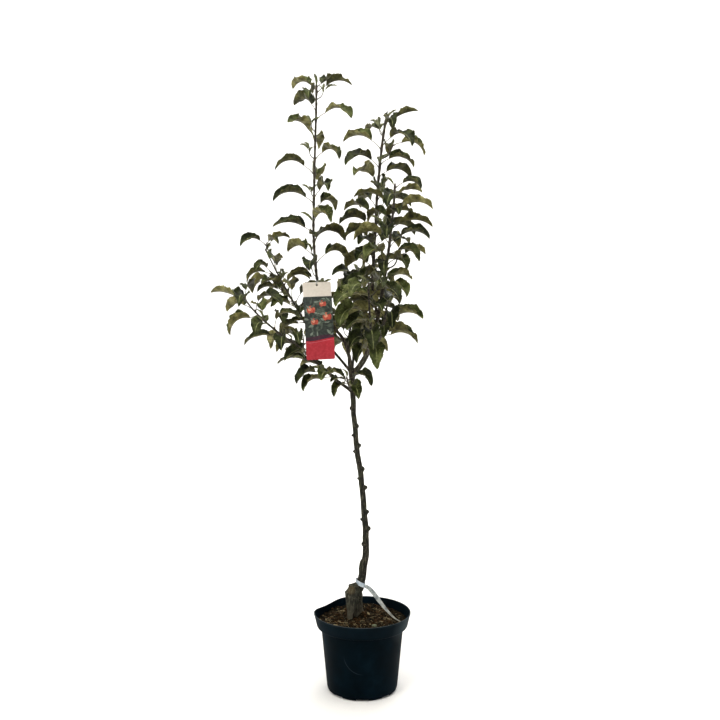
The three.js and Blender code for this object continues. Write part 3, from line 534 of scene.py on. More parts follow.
def setLeaf(stem, share, turn, size, age, shoot, draw, leaves):
    # the first turn at which the leaf has room, or no leaf
    draws = [next(draw) for _ in range(10)]
    for extra in tryTurns:
        leaf = leafAt(stem, share, turn + extra, size, age, draws)
        points = np.array([leaf["middle"]] + [bladePoint(leaf, *probe) for probe in probes])
        if not isAtCard(points) and isClear(points, shoot, age is young):
            addObstacles(points, 0, shoot)
            leaves.append(leaf)
            return


def taperedStem(path, radii):
    last = len(path) - 1
    return limbOf([[*place, radii[0] + (radii[1] - radii[0]) * i / last] for i, place in enumerate(path)])


def twigOn(stem, share, turn, length):
    root, along = pointAt(stem, share), tangentAt(stem, share)
    out = outFrom(along, turn)
    (halfOut, halfAlong), (endOut, endUp) = twigForm["half"], twigForm["end"]
    half = root + out * length * halfOut + along * length * halfAlong
    end = half + out * length * endOut + np.array([0, 0, length * endUp])
    radius = radiusAt(stem, share)
    return taperedStem([root, half, end], [radius * width for width in twigForm["radii"]])


def growStem(name, spec):
    draw = drawsFrom(spec["seed"])
    next(draw)
    # it starts 0.3 mm past the end of its bough, or on the trunk
    start = spec.get("from")
    if start is None:
        bough = limbs[spec["bough"]]
        start = pointAt(bough, 1) + tangentAt(bough, 1) * 0.3
    stem = taperedStem([start, *spec["path"]], spec["radii"])
    twigs = [twigOn(stem, *twig) for twig in spec["twigs"]]
    for limb in [stem, *twigs]:
        addLimbObstacles(limb, shootNumber[name])
    return {"stem": stem, "twigs": twigs, "draw": draw}


def growLeaves(name, spec, shoot):
    stem, draw, leaves, number = shoot["stem"], shoot["draw"], [], shootNumber[name]
    usual, (alongAstray, roundAstray) = spec["leafLength"], leafPlaces["astray"]
    tip, onTwig, tuft = leafPlaces["tip"], leafPlaces["twig"], leafPlaces["tuft"]
    for i in range(spec["leaves"]):
        place = (i + alongAstray * (next(draw) - 0.5)) / (spec["leaves"] - 1)
        share = spec["first"] + (spec["last"] - spec["first"]) * min(max(place, 0), 1)
        size = usual * (spec["tipSize"] if share > tip["from"] else 1)
        turn = spec["turn"] + spec["step"] * i + roundAstray * (next(draw) - 0.5)
        setLeaf(stem, share, turn, size, grown, number, draw, leaves)
    for twig in shoot["twigs"]:
        for i, share in enumerate(onTwig["shares"]):
            turn = onTwig["turns"][0] + onTwig["turns"][1] * i + onTwig["astray"] * next(draw)
            setLeaf(twig, share, turn, usual * onTwig["size"], grown, number, draw, leaves)
    end = tangentAt(stem, 1)
    first, second = sideAxes(end)
    outward = math.atan2(end[:2] @ second[:2], end[:2] @ first[:2]) / degree
    setLeaf(stem, tip["lead"], outward, usual * spec["tipSize"], leading, number, draw, leaves)
    for i in range(tuft["count"]):
        turn = spec["turn"] + tuft["turn"] * i
        setLeaf(stem, tuft["share"], turn, usual * tuft["size"], young, number, draw, leaves)
    return leaves


limbs = {name: limbOf(stations) for name, stations in boughs.items()}
scion = limbOf(scionStations)
for limb in [scion, *limbs.values()]:
    addLimbObstacles(limb, 0)
grownShoots = {name: growStem(name, spec) for name, spec in shoots.items()}
for name, spec in shoots.items():
    grownShoots[name]["leaves"] = growLeaves(name, spec, grownShoots[name])
print("grown:", sum(len(shoot["leaves"]) for shoot in grownShoots.values()), "leaves")


# Leaves

blade = {
    "rings": 40,          # along the leaf
    "columns": [0, 0.06, 0.24, 0.43, 0.62, 0.81, 1],  # across each half, from midrib to edge
    "thickness": 0.45,    # a real leaf has 0.3, drawn coarser so that its edge shows
    "veins": 10,          # pairs
    "puff": 2.0,          # how far the leaf swells between its veins
    "cup": 0.17,          # how far each half bulges down, as a share of its width
    "ripple": 3.0,        # height of the waves along the edge
    "buckle": [0.055, 3.6],  # how fine and how high the whole blade is crumpled
    "lobe": 0.07,         # how unevenly wide it is
    "tooth": 0.75,        # depth of the teeth, one to each pair of rings
    "toothed": [0.08, 0.97],  # between these shares of its length
    # half width from which a leaf has all of its relief, of its teeth and of its crumpling
    "broad": [25, 12, 18],
    "midrib": [1.0, 0.25],  # radius at its foot and at the tip
    "midribDrop": 0.15,   # how far its middle lies under the blade
    "stalk": [1.7, 1.05, 0.95],
}


def greenMaterial(name, colours, roughness, patch, relief, sheen):
    # patch is how wide the larger changes of tone are
    material, tree, place = startMaterial(name)
    large = addNode(tree, "TexNoise", {"Vector": place, "Scale": 1 / (patch * mm), "Detail": 4.0})
    net = addNode(tree, "TexVoronoi", {"Vector": place, "Scale": 1 / (2.4 * mm)},
                  feature="DISTANCE_TO_EDGE")
    tint = addNode(tree, "ValToRGB", [large], zip((0.3, 0.5, 0.72), colours))
    veined = addNode(tree, "MapRange", [net, 0, 0.12, 1.12, 1])
    # painted light and shade of the puckered blade: patches as wide as the 9 mm between two veins, paler
    # and darker at random
    puckerLightAndShade = addNode(tree, "TexNoise", {"Vector": place, "Scale": 1 / (9 * mm), "Detail": 2.0})
    puckerLightAndShade = addNode(tree, "MapRange", [puckerLightAndShade, 0.3, 0.7, 0.72, 1.36])
    shade = addNode(tree, "Math", [veined, puckerLightAndShade], operation="MULTIPLY")
    gloss = addNode(tree, "MapRange", [large, 0, 1, roughness - 0.08, roughness + 0.1])
    finishMaterial(tree, net, relief, 0.3, IOR=1.45, Roughness=gloss, Sheen_Weight=sheen,
                   Base_Color=addNode(tree, "VectorMath", {0: tint, "Scale": shade}, operation="SCALE"),
                   Sheen_Roughness=0.5, Specular_IOR_Level=0.22)
    return material


# Apple leaf, upper side: a waxy skin over dark green, so it is deep in colour with a soft gloss.
# Lower side: paler olive under a felt of fine hairs, so it is matt and catches the light.
# The net of small veins is 0.8 mm wide on a real leaf and drawn at 2.4 mm.
leafTones = [(["#191d0b", "#30361b", "#575d38"], ["#302f18", "#504e2a", "#797650"]),
             (["#121608", "#242a13", "#434a2b"], ["#242511", "#404023", "#64623f"]),
             (["#242a10", "#414825", "#6f754b"], ["#413f22", "#67643c", "#959268"])]
leafMaterials = []
for number, (upperTone, lowerTone) in enumerate(leafTones):
    leafMaterials.append(greenMaterial(f"appleLeafUpper{number}", upperTone, 0.5, 28, 0.35, 0.0))
    leafMaterials.append(greenMaterial(f"appleLeafLower{number}", lowerTone, 0.72, 24, 0.5, 0.25))
leafMaterials += [
    # Leaf stalk, and midrib from below: pale green, flushed with red where the sun reaches.
    greenMaterial("appleLeafStalk", ["#38341f", "#4a4630", "#5e5a40"], 0.6, 18, 0.2, 0.2),
    # Young leaf: thin, bright and grey with down.
    greenMaterial("youngAppleLeaf", ["#4f5336", "#636745", "#7d8060"], 0.7, 14, 0.3, 0.5),
    # Midrib, seen from above: a pale groove in the dark blade.
    greenMaterial("appleLeafMidrib", ["#565a38", "#6b6f49", "#7e8259"], 0.55, 18, 0.2, 0.1),
]
stalkMaterial, youngMaterial, midribMaterial = 6, 7, 8


def ribPlace(rib, share):
    place = min(share * ribSteps, ribSteps - 1e-9)
    i = int(place)
    return [a * (1 - (place - i)) + b * (place - i) for a, b in zip(rib[i], rib[i + 1])]


def bladeGrid(leaf):
    rings, (fine, high), (toothFrom, toothTo) = blade["rings"], blade["buckle"], blade["toothed"]
    reliefBroad, toothBroad, buckleBroad = blade["broad"]
    across = [-c for c in reversed(blade["columns"][1:])] + blade["columns"]
    grid = np.zeros((rings + 1, len(across), 3))
    for i in range(rings + 1):
        share = i / rings
        point, side, upper = ribPlace(leaf["rib"], share)
        half = leaf["width"] * halfWidthAt(min(max(share, 0.004), 0.998))
        relief = half / reliefBroad
        for j, column in enumerate(across):
            part, way = abs(column), (column > 0) - (column < 0)
            wave = leaf["wave"][0 if column < 0 else 1]
            fold = foldAt(leaf, share, 0 if column < 0 else 1)
            reach = part * half * (1 + blade["lobe"] * math.sin(13 * share + 3 * wave))
            if part == 1 and toothFrom < share < toothTo:
                reach += blade["tooth"] * (1 if i % 2 else -0.6) * min(1, half / toothBroad)
            out = side * way * math.cos(fold) + upper * math.sin(fold)
            square = upper * math.cos(fold) - side * way * math.sin(fold)
            vein = share * blade["veins"] - part * half / leaf["length"] * blade["veins"] * 0.8
            lift = -blade["cup"] * half * math.sin(math.pi * part)
            lift += blade["puff"] * relief * math.sin(math.pi * part) * abs(math.sin(math.pi * vein))
            lift += blade["ripple"] * relief * part ** 3 * math.sin((22 + wave) * share + 2.3 * wave)
            lift += 0.4 * blade["ripple"] * relief * part ** 4 * math.sin(57 * share + 5.1 * wave)
            place = point + out * reach + square * lift
            crumple = noise.noise(Vector(place * fine)) * high
            crumple *= min(1, half / buckleBroad) * (0.3 + 0.7 * part)
            grid[i, j] = place + upper * crumple
    return grid


def leafParts(leaf, tone):
    top = bladeGrid(leaf)
    rows, columns = top.shape[:2]
    normal = np.cross(np.gradient(top, axis=1), np.gradient(top, axis=0))
    normal /= np.maximum(np.linalg.norm(normal, axis=2), 1e-9)[:, :, None]
    if normal[rows // 2, columns // 2] @ leaf["rib"][ribSteps // 2][2] < 0:
        normal = -normal
    under = top - normal * blade["thickness"]
    count, half = rows * columns, (columns - 1) // 2
    upperFaces = gridFaces(rows, columns)
    lowerFaces = [tuple(reversed([c + count for c in face])) for face in upperFaces]
    ring = [*range(columns), *((i + 1) * columns - 1 for i in range(1, rows)),
            *((rows - 1) * columns + j for j in range(columns - 2, -1, -1)),
            *(i * columns for i in range(rows - 2, 0, -1))]
    rim = [(a, a + count, b + count, b) for a, b in zip(ring, ring[1:] + ring[:1])]
    if leaf["young"]:
        indices = [youngMaterial] * (len(upperFaces) * 2 + len(rim))
    else:
        indices = [tone * 2] * len(upperFaces) + [tone * 2 + 1] * (len(lowerFaces) + len(rim))
        for i in range(rows - 1):
            indices[i * (columns - 1) + half - 1] = indices[i * (columns - 1) + half] = midribMaterial
    # the stalk runs on under the blade as its midrib
    small = 0.6 if leaf["young"] else 1
    path = limbOf([[*leaf[name], radius * small]
                   for name, radius in zip(("root", "middle", "base"), blade["stalk"])])
    centres = [pointAt(path, i / 8) for i in range(9)]
    radii = [radiusAt(path, i / 8) for i in range(9)]
    thick, thin = blade["midrib"]
    for i in range(1, ribSteps):
        point, _, upper = leaf["rib"][i]
        centres.append(point - upper * (blade["thickness"] + blade["midribDrop"]))
        radii.append((thick + (thin - thick) * i / ribSteps) * small)
    points = np.concatenate([top.reshape(-1, 3), under.reshape(-1, 3)])
    return [(points, upperFaces + lowerFaces + rim, indices),
            (*tube(centres, radii, 6), youngMaterial if leaf["young"] else stalkMaterial)]


# Finer growth: short side spurs with small leaves, wherever there is room

spurs = {
    "each": 70,        # mm of stem to a spur
    "last": 0.94,      # share of the stem past which there are none
    "length": [12, 34],
    "radius": [1.5, 1.0],
    "leaf": [22, 40],  # lengths of the small leaves
    "leaves": 3,
    "leafStep": [0.1, 125],  # share of the spur and degrees round it, from one to the next
    "gaps": {"leaf": 5, "sameShoot": 4, "farthest": 12},
    "inside": 6,       # how far inside the tree's box they stay
}


def staysInside(points):
    low, high = np.array(cadBox) / mm
    return bool(np.all(points > low + spurs["inside"]) and np.all(points < high - spurs["inside"]))


def growSpurs(name, spec, shoot):
    # each spur is kept only if its own stem and at least one small leaf find room
    draw, number, made, small = drawsFrom(spec["seed"] + 17), shootNumber[name], [], []
    stem, (shareStep, turnStep) = shoot["stem"], spurs["leafStep"]
    count = lengthOf(stem) / spurs["each"]
    for i in range(int(count)):
        share = (i + 0.3 + 0.4 * next(draw)) / count
        turn, size = 360 * next(draw), next(draw)
        low, high = spurs["length"]
        length = low + (high - low) * size
        root, along = pointAt(stem, share), tangentAt(stem, share)
        out = outFrom(along, turn)
        middle = root + (out + along * 0.7) * length * 0.45
        path = np.array([root, middle, middle + (out * 0.4 + along) * length * 0.45])
        spur, leaves = taperedStem(path, spurs["radius"]), []
        for k in range(spurs["leaves"]):
            draws = [next(draw) for _ in range(10)]
            low, high = spurs["leaf"]
            size = low + (high - low) * draws[0]
            leaf = leafAt(spur, 0.99 - shareStep * k, turn + turnStep * k, size, young, draws)
            points = np.array([bladePoint(leaf, *probe) for probe in probes] + [*path[1:]])
            hasRoom = staysInside(points) and not isAtCard(points)
            if hasRoom and isClear(points, number, True, spurs["gaps"]):
                leaves.append((leaf, points))
        if leaves and share < spurs["last"]:
            made.append(spur)
            for leaf, points in leaves:
                addObstacles(points, 0, number)
                small.append(leaf)
    return made, small


stemForm = {
    "sides": 12, "step": 4.0,
    "swell": 0.3, "reach": 5.0,  # how much thicker it is at a leaf, and over what length
    "tip": [0.7, 0.55],          # length and radius of its blunt tip, as shares of its own radius
    "fine": [0.35, 0.35, 0.12], "relief": 0.25,
}
buds = {
    "sides": 7,
    "tip": 7.8, "side": 4.8, "axil": 6.0,  # lengths at a shoot's tip, at a twig's and above a leaf
    "axilAt": [2.4, 3.0, 0.35],  # out from the leaf's foot, up the stem, and how much it leans out
    # how far out each ring of a bud stands and its radius, as shares of the bud's length
    "tipShape": [(-0.1, 0.28), (0.2, 0.34), (0.5, 0.28), (0.8, 0.14), (1, 0.02)],
    "axilShape": [(0, 0.21), (0.25, 0.3), (0.5, 0.27), (0.75, 0.165), (0.93, 0.06), (1, 0.012)],
}


def shootMaterial():
    # Apple shoot of one summer: thin red-brown skin under grey down, so it is matt, dotted with
    # pale breathing pores. A pore is 1 mm across and is drawn at 2 mm.
    material, tree, place = startMaterial("downyShootSkin")
    drawn = addNode(tree, "Mapping", {"Vector": place, "Scale": (1, 1, 0.35)})
    down = addNode(tree, "TexNoise", {"Vector": drawn, "Scale": 220.0, "Detail": 5.0})
    tint = addNode(tree, "ValToRGB", [down], [(0.3, "#1e1a14"), (0.52, "#332d24"), (0.75, "#544b3e")])
    pores = addNode(tree, "TexVoronoi", {"Vector": place, "Scale": 1 / (8 * mm)})
    dot = addNode(tree, "MapRange", [pores, 0.1, 0.22, 0.7, 0])
    base = addNode(tree, "Mix", {0: dot, 6: tint, 7: "#7a7060"}, data_type="RGBA")
    finishMaterial(tree, down, 0.4, 0.4, Base_Color=base, Roughness=0.72, IOR=1.45, Sheen_Weight=0.3)
    return material


def stemParts(stem, knots):
    # a round stem, a little thicker at each leaf, with fine relief, that ends in a blunt tip
    count = max(4, round(lengthOf(stem) / stemForm["step"]))
    centres, radii = [], []
    for i in range(count + 1):
        centres.append(pointAt(stem, i / count))
        near = min((np.linalg.norm(centres[-1] - knot) for knot in knots), default=99)
        swell = 1 + stemForm["swell"] * math.exp(-(near / stemForm["reach"]) ** 2)
        radii.append(radiusAt(stem, i / count) * swell)
    tipLength, tipRadius = stemForm["tip"]
    centres.append(centres[-1] + tangentAt(stem, 1) * radii[-1] * tipLength)
    radii.append(radii[-1] * tipRadius)
    points, faces = tube(centres, radii, stemForm["sides"])
    rough = np.array([noise.noise(Vector(point * stemForm["fine"])) for point in points])
    outward = points - np.repeat(np.array(centres), stemForm["sides"], axis=0)
    outward /= np.maximum(np.linalg.norm(outward, axis=1), 1e-6)[:, None]
    return points + outward * (rough * stemForm["relief"])[:, None], faces, 0


def budParts(start, way, size, shape):
    centres = [start + way * size * out for out, _ in shape]
    return (*tube(centres, [size * radius for _, radius in shape], buds["sides"]), 1)


def axilBud(shoot, leaf):
    # a pointed bud pressed to the stem, just above where the leaf's stalk leaves it
    limb = min([shoot["stem"], *shoot["twigs"]],
               key=lambda stem: abs(stem["points"] - leaf["root"]).sum(1).min())
    out = leaf["middle"] - leaf["root"]
    along = unit(limb["points"][-1] - limb["points"][0])
    out, (off, up, lean) = unit(out - along * (out @ along)), buds["axilAt"]
    return budParts(leaf["root"] + out * off + along * up, unit(along + out * lean), buds["axil"],
                    buds["axilShape"])


# Bud scales: the shoot's skin, closed and darker, with a soft edge of down.
budMaterial = grainyMaterial("budScale", {"Scale": 500.0, "Detail": 3.0},
                             [(0.35, "#2c1f18"), (0.55, "#433127"), (0.75, "#665648")], 0.5, 0.4,
                             Roughness=0.65, IOR=1.45, Sheen_Weight=0.4)
twigMaterials = [shootMaterial(), budMaterial]
for name, spec in shoots.items():
    shoot, short = grownShoots[name], name.removeprefix("foliage_")
    spurStems, smallLeaves = growSpurs(name, spec, shoot)
    leaves = shoot["leaves"] + smallLeaves
    parts = [part for leaf in leaves for part in leafParts(leaf, int(leaf["tone"] * len(leafTones)))]
    meshPiece("leaves_" + short, parts, leafMaterials, [name])
    stems, knots = [shoot["stem"], *shoot["twigs"]], [leaf["root"] for leaf in shoot["leaves"]]
    parts = [stemParts(limb, knots) for limb in stems] + [stemParts(spur, []) for spur in spurStems]
    for limb in stems + spurStems:
        size = buds["tip"] if limb is shoot["stem"] else buds["side"]
        parts.append(budParts(pointAt(limb, 1), tangentAt(limb, 1), size, buds["tipShape"]))
    parts += [axilBud(shoot, leaf) for leaf in shoot["leaves"] if not leaf["young"]]
    meshPiece("twigs_" + short, parts, twigMaterials, [name])
    print("made", name, len(leaves), "leaves,", len(spurStems), "spurs")


# Trunk and boughs

bark = {
    "voxel": 1.2,
    "smooth": 4,
    "tubes": {"stump": (28, 3), "stem": (24, 6), "bough": (16, 4)},  # sides, and mm between rings
    "collar": [0.3, 8],      # how much thicker a bough starts, and over what length
    "slim": 0.86,            # share of its thickness that a bough has past its collar
    # what the smoothing takes off the stem, given back as more radius at each height
    "givenBack": [(360, 0), (400, 0.6), (500, 0.8), (600, 1.2), (918, 1.2)],
    "ridge": [0.3, 0.07, 0.5],   # how fine across and along the limb, and how high
    "grain": [0.7, 0.22],
    "lumps": [0.085, 1.9],   # on the rootstock alone
    "furrows": [0.22, 0.06, 0.8],
    "rootstockTop": [310, 20],   # its height, and over what height its relief dies out
    # each knot's rings: how far out, as shares of the stem's radius and of the knot's own, and how wide
    "knotRings": [(0, 0, 1), (0.6, 0, 0.95), (0.9, 0, 0.82), (1, 0.5, 0.62), (1, 1, 0.38)],
    # knots where side shoots were cut off: height, side, how far each stands out, size of its foot
    "knots": [(806, -1, 3.4, 8), (757, 1, 3, 9), (729, -1, 5.4, 5.5), (701, 1, 5.4, 9), (682, -1, 5, 5.5),
              (632, 1, 5, 10), (605, -1, 6, 4.4), (579, 1, 6.6, 9), (509, 1, 6, 9), (486, -1, 6, 6),
              (461, 1, 5.2, 9), (417, -1, 3, 9)],
    # how far the stem strays sideways, at each height
    "strays": [(300, -1.5), (350, -1.5), (385, 3.2), (405, 2.8), (440, 0.0), (600, -1.4), (625, -0.2),
               (675, -2.8), (715, -2.0), (760, 0), (793, -1.2), (830, 0.8), (850, 0)],
}

# The old rootstock, as limbs that run into each other: x, y, z and radius.
stump = {
    "frontLobe": [[-35, -9, 203, 6], [-33.5, -6, 216, 8.5], [-32, -2, 231, 11.5], [-31.5, 2, 249, 15],
                  [-30, 5, 266, 18], [-29, 8, 278, 19], [-30, 8, 287, 14.5]],
    "backLobe": [[-4, 22, 203, 9], [-5, 19, 222, 7.2], [-6, 17, 240, 7.8], [-8, 15, 262, 9.2],
                 [-11, 12, 285, 10.5], [-9, 11, 300, 10.5]],
    "web": [[-17, 17, 203, 7], [-17, 15, 225, 7.5], [-17, 12, 248, 8.5], [-18, 10, 268, 10]],
    "crown": [[-28, 6, 264, 17], [-29, 5, 280, 15.5], [-28, 4, 292, 13], [-28, 3, 302, 9]],
    "nub": [[-33, 2, 266, 14], [-40, 1, 277, 10], [-46, 0, 284, 4.5]],
    "brow": [[-28, 5, 296, 9], [-21, 6, 296, 10.5], [-13, 8, 298, 10]],
    "shoulder": [[0, 10, 302, 9.2], [0.6, 10, 335, 9], [0.8, 10, 360, 9], [1.6, 10, 369, 8],
                 [6, 10, 377, 4.5]],
}
stubCut = {"middle": [-31, -9, 290], "radius": 15}  # healed wood where the rootstock was cut off


def limbTube(limb, kind):
    (sides, step), (collar, reach) = bark["tubes"][kind], bark["collar"]
    count = max(6, round(lengthOf(limb) / step))
    centres, radii = [pointAt(limb, i / count) for i in range(count + 1)], []
    for i, centre in enumerate(centres):
        thick = 1
        if kind == "bough":
            thick = bark["slim"] + (1 - bark["slim"]) * i / count
            thick += collar * math.exp(-np.linalg.norm(centre - centres[0]) / reach)
        radii.append(radiusAt(limb, i / count) * thick)
    return (*tube(centres, radii, sides), 0)


def knotTubes(stem):
    # stumps where side shoots were cut off the stem
    tubes = []
    for i, (height, side, out, foot) in enumerate(bark["knots"]):
        share = 0.0
        while pointAt(stem, share)[2] < height:
            share += 0.002
        azimuth = (90 - side * 90 + (i % 3 - 1) * 24) * degree
        way = np.array([math.cos(azimuth), math.sin(azimuth), 0.3])
        centre, surface = pointAt(stem, share), radiusAt(stem, share)
        centres = [centre + way * (surface * inner + out * outer) for inner, outer, _ in bark["knotRings"]]
        tubes.append((*tube(centres, [foot * width for _, _, width in bark["knotRings"]], 14), 0))
    return tubes


def barkMaterial():
    # Bark of a young apple tree: smooth and grey-brown, drawn out lengthways as the stem thickens,
    # with pale pores 3 mm wide, and rougher and greener on the old rootstock. It is dry and matt.
    material, tree, place = startMaterial("youngAppleBark")
    axes = addNode(tree, "SeparateXYZ", [place]).outputs
    drawn = addNode(tree, "Mapping", {"Vector": place, "Scale": (1, 1, 0.22)})
    grain = addNode(tree, "TexNoise", {"Vector": drawn, "Scale": 260.0, "Detail": 7.0, "Roughness": 0.62})
    stem, old, brown = [addNode(tree, "ValToRGB", [grain], zip((0.34, 0.5, top), colours))
                        for top, colours in ((0.66, ["#0b0b07", "#1e1d16", "#4e4b3d"]),
                                             (0.68, ["#17170f", "#33332a", "#605f52"]),
                                             (0.68, ["#1f1912", "#3a332a", "#6b6254"]))]
    patch = addNode(tree, "TexNoise", {"Vector": place, "Scale": 38.0, "Detail": 4.0})
    flat = addNode(tree, "Mapping", {"Vector": place, "Scale": (1, 1, 2.4)})
    pores = addNode(tree, "TexVoronoi", {"Vector": flat, "Scale": 1 / (11 * mm)})
    cut = addNode(tree, "VectorMath", [place, tuple(np.array(stubCut["middle"]) * mm)],
                  operation="DISTANCE")
    radius = stubCut["radius"] * mm
    # each share runs with a height, a depth or a noise: from, to, and its values there
    upper, lower, behind, foot, algae, dash, bare = [
        addNode(tree, "MapRange", limits) for limits in (
            (axes["Z"], 0.8, 1.0, 0, 1), (axes["Z"], 0.29, 0.31, 1, 0), (axes["Y"], 0.009, 0.016, 0, 0.6),
            (axes["Z"], 0.215, 0.255, 0.55, 0), (patch, 0.52, 0.7, 0, 0.5), (pores, 0.12, 0.2, 0.75, 0),
            (cut, 0.6 * radius, radius, 0.6, 0))]
    behind = addNode(tree, "Math", [behind, lower], operation="MULTIPLY")
    # over the stem's own grain: browner boughs, the old rootstock, its brown lobe behind, a foot
    # that is paler, green algae, pores, and the bare wood of the cut
    base = stem
    for share, colour in ((upper, brown), (lower, old), (behind, "#463a29"), (foot, "#676254"),
                          (algae, "#3d412e"), (dash, "#6e6858"), (bare, "#544a34")):
        base = addNode(tree, "Mix", {0: share, 6: base, 7: colour}, data_type="RGBA")
    relief = addNode(tree, "Math", [grain, dash], operation="ADD")
    finishMaterial(tree, relief, 0.7, 0.8, Base_Color=base, Roughness=0.85, IOR=1.45)
    return material


def readVectors(mesh, field):
    values = np.zeros(len(mesh.vertices) * 3, np.float32)
    mesh.vertices.foreach_get(field, values)
    return values.reshape(-1, 3).astype(float)


def makeBark():
    # overlapping tubes become one skin with soft joints
    extra = np.interp(scion["points"][:, 2], *zip(*bark["givenBack"]))
    stem = {**scion, "radii": scion["radii"] + extra}
    parts = [limbTube(limbOf(stations), "stump") for stations in stump.values()]
    parts += [limbTube(stem, "stem")] + knotTubes(stem)
    parts += [limbTube(limb, "bough") for limb in limbs.values()]
    rough = addObject("barkRough", fillMesh("barkRough", parts))
    remesh = rough.modifiers.new("remesh", "REMESH")
    remesh.mode, remesh.voxel_size = "VOXEL", bark["voxel"] * mm
    soften = rough.modifiers.new("soften", "SMOOTH")
    soften.factor, soften.iterations = 0.5, bark["smooth"]
    mesh = evaluatedMesh(rough)
    bpy.data.objects.remove(rough)
    mesh.name = "bark"
    places, normals = readVectors(mesh, "co") / mm, readVectors(mesh, "normal")
    raised = np.zeros(len(places))
    (across, along, high), (fine, low) = bark["ridge"], bark["grain"]
    (lump, lumpHigh), (furrow, furrowLong, furrowHigh) = bark["lumps"], bark["furrows"]
    top, fade = bark["rootstockTop"]
    for k, place in enumerate(places):
        x, y, z = place
        raised[k] = noise.noise(Vector((x * across, y * across, z * along))) * high
        raised[k] += noise.noise(Vector(place * fine)) * low
        share = min(1, (top - z) / fade)
        if share > 0:
            raised[k] += share * noise.noise(Vector(place * lump)) * lumpHigh
            raised[k] += share * noise.noise(Vector((x * furrow, y * furrow, z * furrowLong))) * furrowHigh
    moved = (places + normals * raised[:, None]) * mm
    heights, strays = zip(*bark["strays"])
    moved[:, 0] += np.interp(places[:, 2], heights, strays, left=0) * mm
    mesh.vertices.foreach_set("co", moved.astype(np.float32).ravel())
    mesh.polygons.foreach_set("use_smooth", [True] * len(mesh.polygons))
    mesh.materials.clear()
    mesh.materials.append(barkMaterial())
    mesh.update()
    print("made bark:", len(mesh.polygons), "faces")
    return standFor(["trunk", *limbs], addObject("bark", mesh))


makeBark()


# Pot

pot = {
    "height": 225, "rimRadius": 137.5, "collarFootRadius": 129, "collarFoot": 186,
    "shoulderRadius": 117, "baseRadius": 100.5, "footRadius": 92, "footRounding": 12,
    "footRingWidth": 9, "wall": 2.2, "baseLift": 6.5, "bossRadius": 24,
    "notches": 8, "notchWidth": 35, "facets": 192,
    "dent": {"azimuth": 146, "halfWidth": 38, "inward": 12, "drop": 5},
    # a painted highlight on the collar's right side, where the light catches it: middle and reach of the
    # patch
    "rightSideHighlight": {"middle": [128, -62, 204], "reach": 62},
    # an arc rubbed pale before this y: middle and radius in x and z, and the angles it runs between
    "scratch": {"middle": [2, 134], "radius": 53, "from": 182, "to": 272, "width": 1.3, "before": -60},
}


def dentedRim(x, y, z):
    dent = pot["dent"]
    azimuth = math.atan2(y, x) / degree
    off = abs((azimuth - dent["azimuth"] + 540) % 360 - 180) / dent["halfWidth"]
    height = (z - pot["collarFoot"]) / (pot["height"] - pot["collarFoot"])
    if off >= 1 or height <= 0:
        return (x, y, z)
    share = math.cos(off * math.pi / 2) ** 2 * height
    pulled = 1 - dent["inward"] * share / math.hypot(x, y)
    return (x * pulled, y * pulled, z - dent["drop"] * share)


def roundedProfile(corners):
    # corners are (radius, height, rounding) and each becomes a short arc of five points
    profile = []
    for i, (radius, height, rounding) in enumerate(corners):
        here = np.array([radius, height], float)
        if rounding == 0:
            profile.append(here)
            continue
        ends = []
        for beside in (corners[i - 1], corners[(i + 1) % len(corners)]):
            away = np.array(beside[:2]) - here
            ends.append(here + unit(away) * min(rounding, np.linalg.norm(away) * 0.45))
        for t in (0, 0.25, 0.5, 0.75, 1):
            profile.append(ends[0] * (1 - t) ** 2 + here * 2 * t * (1 - t) + ends[1] * t ** 2)
    return profile


def turnedMesh(profile, facets):
    # a closed profile turned about +Z, whose first and last points lie on the axis
    rows = len(profile) - 2
    points = [dentedRim(*place) for corner in profile[1:-1] for place in ringAt(*corner, facets)]
    faces = gridFaces(rows, facets, closed=True)
    for (_, height), ring in ((profile[0], 0), (profile[-1], (rows - 1) * facets)):
        faces += fanFaces(len(points), ring, facets)
        points.append((0, 0, height))
    return points, faces


